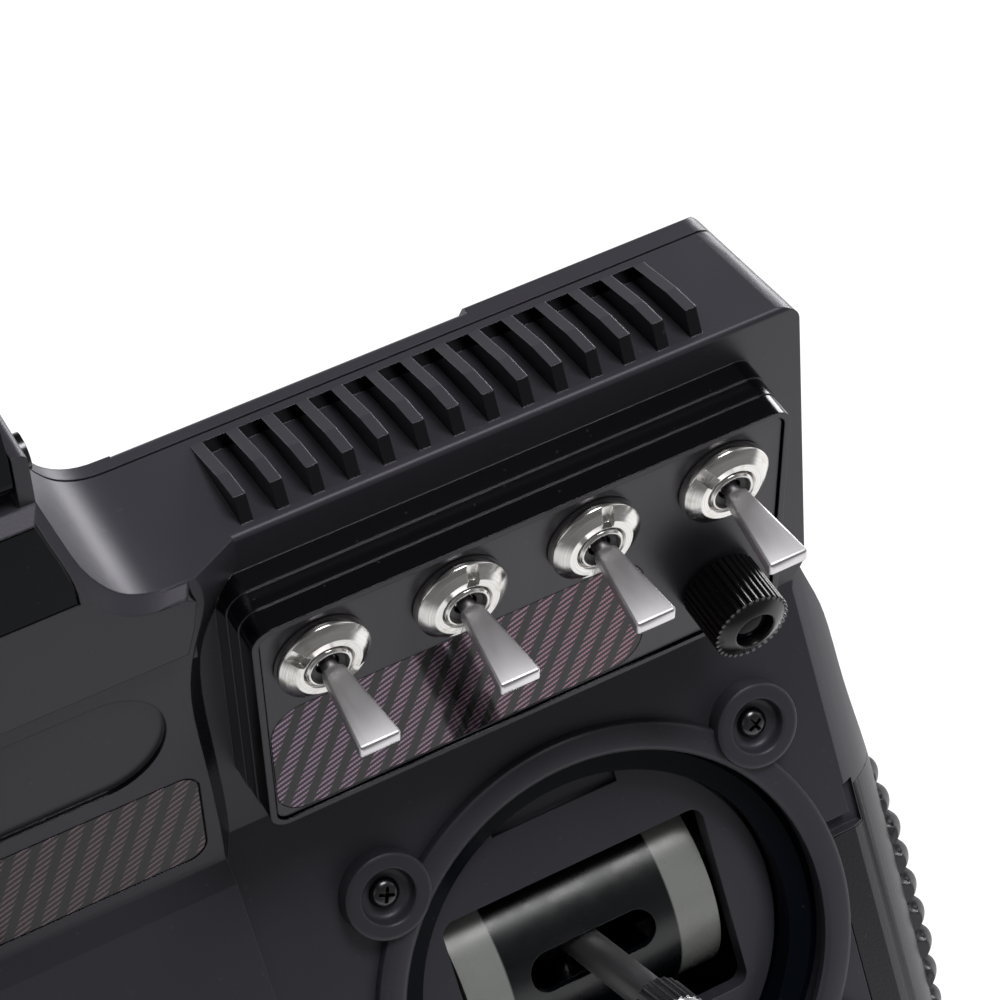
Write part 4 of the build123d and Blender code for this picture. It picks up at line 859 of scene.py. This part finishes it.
def stick_tops():
    """Knurled stick caps, each with its bezel ring."""
    for side, sign in SIDES:
        shape = bmesh.new()
        lathe(shape, [(2.52, 12.0), (3.2, 12.0), (3.45, 12.3), (3.45, 19.6), (3.0, 20.0), (3.0, 20.6), (3.45, 21.0),
                      (3.45, 28.4), (3.1, 29.0), (2.2, 29.25), (1.2, 29.9), (0, 30.0), (0, 25.9), (2.52, 25.9)],
              44, closed=True)
        mesh = as_mesh("cap", shape)
        for low, length in CAP_BANDS:
            mesh = grown(loose("cap", mesh), RIBBED, {
                "Count": CAP_RIBS, "Ring": 3.42 * MM, "Rib": 0.27 * MM, "Low": low * MM, "Length": length * MM,
                "Finish": MATERIALS["cap_aluminium"]})
        mesh.transform(in_metres(FRONT @ shift(sign * STICK_X, STICK_Z)))
        fit(f"stick_grip_top_{side}", mesh, f"stick_{side}", "cap_aluminium", [f"stick_cap_{side}"])
        fit(f"stick_ring_{side}", bezel_shape(sign), "housing", "housing", [f"stick_bezel_{side}"])


# --- small front pieces ---------------------------------------------------

KEY_PLACES = ((-43.0, 37.0), (-43.0, 23.0), (43.0, 37.0), (43.0, 23.0))
TRIM_PLACES = (("pitch", STICK_X - 41.5, STICK_Z - 12.0, 0), ("side", STICK_X, STICK_Z - 43.4, 90))
POWER_Z, LAMP_Z, LOOP_Z, LOOP_OUT = 60.0, 88.0, 77.0, 8.6


def ridged_knob(shape, wide, high, rise, ridges, place):
    """Small sliding knob with cross ridges."""
    rings = [rounded_ring(wide / 2, high / 2, 0.3, -rise), rounded_ring(wide / 2, high / 2, 0.3, rise * 0.55),
             rounded_ring(wide / 2 - 0.15, high / 2 - 0.25, 0.3, rise * 0.80)]
    skin(shape, rings, place)
    for i in range(ridges):
        z = (i - (ridges - 1) / 2) * (high - 0.9) / max(1, ridges - 1)
        low = rise * 0.7
        rings = [rounded_ring(wide / 2 - 0.2, 0.36, 0.15, low),
                 rounded_ring(wide / 2 - 0.25, 0.30, 0.15, rise - 0.15),
                 rounded_ring(wide / 2 - 0.45, 0.16, 0.10, rise)]
        skin(shape, rings, place @ shift(0, z, 0))


def small_front_pieces():
    """Keys, trims, power slider and status lamp."""
    for number, (x, z) in enumerate(KEY_PLACES, 1):
        shape = bmesh.new()
        lathe(shape, [(0, -4.0), (5.15, -4.0), (5.2, -3.9), (5.2, -2.8), (5.1, -2.7), (4.0, -2.7), (4.0, 0.85),
                      (3.93, 1.12), (3.72, 1.28), (3.4, 1.30), (2.4, 1.12), (1.2, 0.98), (0, 0.95)], 56, shift(x, z))
        fit(f"key_top_{number}", as_mesh("key", shape, FRONT), f"key_body_{number}", "key_grey", [f"key_{number}"])
    for side, sign in SIDES:
        for kind, x, z, turn in TRIM_PLACES:
            shape = bmesh.new()
            at = shift(sign * x, z) @ Matrix.Rotation(math.radians(turn), 4, "Z")
            ridged_knob(shape, 5.0, 3.2, 3.5, 3, at)
            block(shape, (-4.5, -5.6, -3.9), (4.5, 5.6, -2.7), 0.25, at)
            fit(f"trim_knob_{kind}_{side}", as_mesh("trim", shape, FRONT), f"trim_{kind}_{side}", "dark_plastic",
                [f"trim_lever_{kind}_{side}"])
    shape = bmesh.new()
    ridged_knob(shape, 4.6, 6.2, 4.6, 5, shift(0, POWER_Z))
    block(shape, (-5.0, POWER_Z - 7.0, -4.6), (5.0, POWER_Z + 7.0, -2.7), 0.25)
    fit("power_knob", as_mesh("power", shape, FRONT), "power_slide", "dark_plastic", ["power_slider"])
    shape = bmesh.new()
    lathe(shape, [(0, -3.9), (2.38, -3.9), (2.38, -2.4), (1.58, -2.4), (1.58, 2.4), (1.45, 2.95), (1.05, 3.28),
                  (0.5, 3.39), (0, 3.4)], 40, shift(0, LAMP_Z))
    fit("status_lamp", as_mesh("lens", shape, FRONT), "housing", "lens_red", ["status_lens"])


def strap_ring():
    """Round loop on its stud."""
    shape = bmesh.new()
    tube = [(3.95 + 1.25 * math.cos(math.radians(a)), 1.2 * math.sin(math.radians(a))) for a in range(0, 360, 24)]
    lathe(shape, tube, 64, shift(0, LOOP_Z, LOOP_OUT) @ ACROSS, closed=True)
    lathe(shape, [(0, -4.0), (2.4, -4.0), (2.4, -2.4), (1.58, -2.4), (1.58, 0.0), (1.58, 3.0), (3.4, 3.0), (3.6, 3.2),
                  (3.6, 3.95), (3.35, 4.2), (1.5, 4.3), (0, 4.3)], 40, shift(0, LOOP_Z))
    fit("strap_ring", as_mesh("ring", shape, FRONT), "housing", "polished_steel", ["strap_eyelet"])


toggle_switches()
rotary_dials()
screws()
stick_tops()
small_front_pieces()
strap_ring()

# --- side grips -----------------------------------------------------------

SIDE_LINE = ((111.6, 131.0), (112.8, 126.0), (115.2, 119.0), (116.0, 108.0), (118.2, 94.0), (120.0, 80.0),
             (120.4, 62.0), (118.0, 36.0), (112.4, 9.5))
PIT_PITCH, PIT_TOP, PIT_COUNT, PIT_R = 4.7, 89.3, 11, 1.25


def side_at(z):
    """Half width of the body's side at height z."""
    for (x1, z1), (x0, z0) in zip(SIDE_LINE, SIDE_LINE[1:]):
        if z0 <= z <= z1:
            return x0 + (x1 - x0) * (z - z0) / (z1 - z0)
    return SIDE_LINE[-1][0]


def solid_copy(node):
    """The frame's shape of a node as one closed mesh, in millimetres."""
    shape = bmesh.new()
    shape.from_mesh(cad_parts[node].data)
    bmesh.ops.remove_doubles(shape, verts=shape.verts, dist=1e-6)
    shape.transform(Matrix.Scale(1 / MM, 4))
    return shape


def side_grips():
    """The frame's grips with small pits between the finger bumps."""
    for side, sign in SIDES:
        cutter = bmesh.new()
        for i in range(PIT_COUNT):
            z = PIT_TOP - (i + 0.5) * PIT_PITCH
            at = shift(sign * (side_at(z) - 0.2), -16.2, z)
            bmesh.ops.create_uvsphere(cutter, u_segments=16, v_segments=10, radius=PIT_R, matrix=at)
        mesh = carve("grip", solid_copy(f"side_grip_{side}"), cutter)
        fit(f"grip_rubber_{side}", mesh, "housing", "grip_rubber", [f"side_grip_{side}"], crease=40.0)


side_grips()

# --- studio ---------------------------------------------------------------

FLOOR_REACH, FLOOR_TONE, FLOOR_GLOW = 12.0, 0.18, 0.93


def background_share(sheet, reflected):
    """1 for what the camera sees, the given brightness for a mirror or glass, 0 for light on the object."""
    path = sheet.add("ShaderNodeLightPath")
    camera = sheet.more(path, "Is Camera Ray")
    glossy = sheet.more(path, "Is Glossy Ray")
    through = sheet.more(path, "Is Transmission Ray")
    return camera.at_least(glossy.at_least(through) * reflected)


def studio_world():
    """Plain fill light; what shows in the object's gloss is a white horizon under a dark ceiling."""
    world = bpy.data.worlds.new("studio")
    bpy.context.scene.world = world
    world.use_nodes = True
    sheet = Sheet(world.node_tree)
    direction = sheet.add("ShaderNodeTexCoord", output="Generated")
    height, front = (sheet.dot(direction, axis) for axis in (UP, (0, -1, 0)))
    seen = sheet.span(height, 0.2, 0.7, 1.0, 0.07) * sheet.span(front, 0.3, 0.8, 1.0, 0.15)
    share = background_share(sheet, seen)
    path = sheet.add("ShaderNodeLightPath")
    plain = sheet.more(path, "Is Diffuse Ray")
    overhead = sheet.span(height, 0.1, 0.95, 0.02, 0.5)
    light = sheet.add("ShaderNodeBackground", None, {"Color": rgb(1, 1, 1), "Strength": share + plain * overhead})
    sheet.add("ShaderNodeOutputWorld", None, {"Surface": light})


def floor_paint(sheet):
    """Pale table that darkens well in front of the object, as its gloss shows it."""
    across, depth = sheet.along([RIGHT, (0, 1, 0)])
    near = sheet.span(depth, -185.0, -105.0, 0.02, 1.0) * sheet.span(across, 0.0, 140.0, 0.75, 1.0)
    soft = sheet.add("ShaderNodeBsdfDiffuse", None, {"Color": rgb(FLOOR_TONE, FLOOR_TONE, FLOOR_TONE)})
    glow = sheet.add("ShaderNodeEmission", None,
                     {"Color": rgb(1, 1, 1), "Strength": background_share(sheet, near) * FLOOR_GLOW})
    return sheet.add("ShaderNodeAddShader", None, {0: soft, 1: glow})


def studio_floor():
    mesh = bpy.data.meshes.new("studio_floor")
    reach = FLOOR_REACH
    corners = [(-reach, -reach, 0), (reach, -reach, 0), (reach, reach, 0), (-reach, reach, 0)]
    mesh.from_pydata(corners, [], [(0, 1, 2, 3)])
    floor = loose("studio_floor", mesh)
    mesh.materials.append(finish("studio_floor", floor_paint))


def soft_lamp(name, place, target, wide, power):
    data = bpy.data.lights.new(name, "AREA")
    data.shape = "SQUARE"
    data.size = wide
    data.energy = power
    lamp = bpy.data.objects.new(name, data)
    bpy.context.scene.collection.objects.link(lamp)
    aim = Vector(target) - Vector(place)
    lamp.matrix_world = Matrix.Translation(place) @ aim.to_track_quat("-Z", "Y").to_matrix().to_4x4()


studio_world()
studio_floor()
soft_lamp("key", (0.45, -1.1, 1.3), (0.03, -0.03, 0.12), 0.6, 13.0)
soft_lamp("side", (1.3, 0.6, 0.8), (0.03, 0, 0.12), 0.6, 12.0)
soft_lamp("back", (-0.5, 1.4, 1.0), (0, 0, 0.12), 0.8, 8.0)

bpy.context.scene.view_settings.view_transform = "Standard"
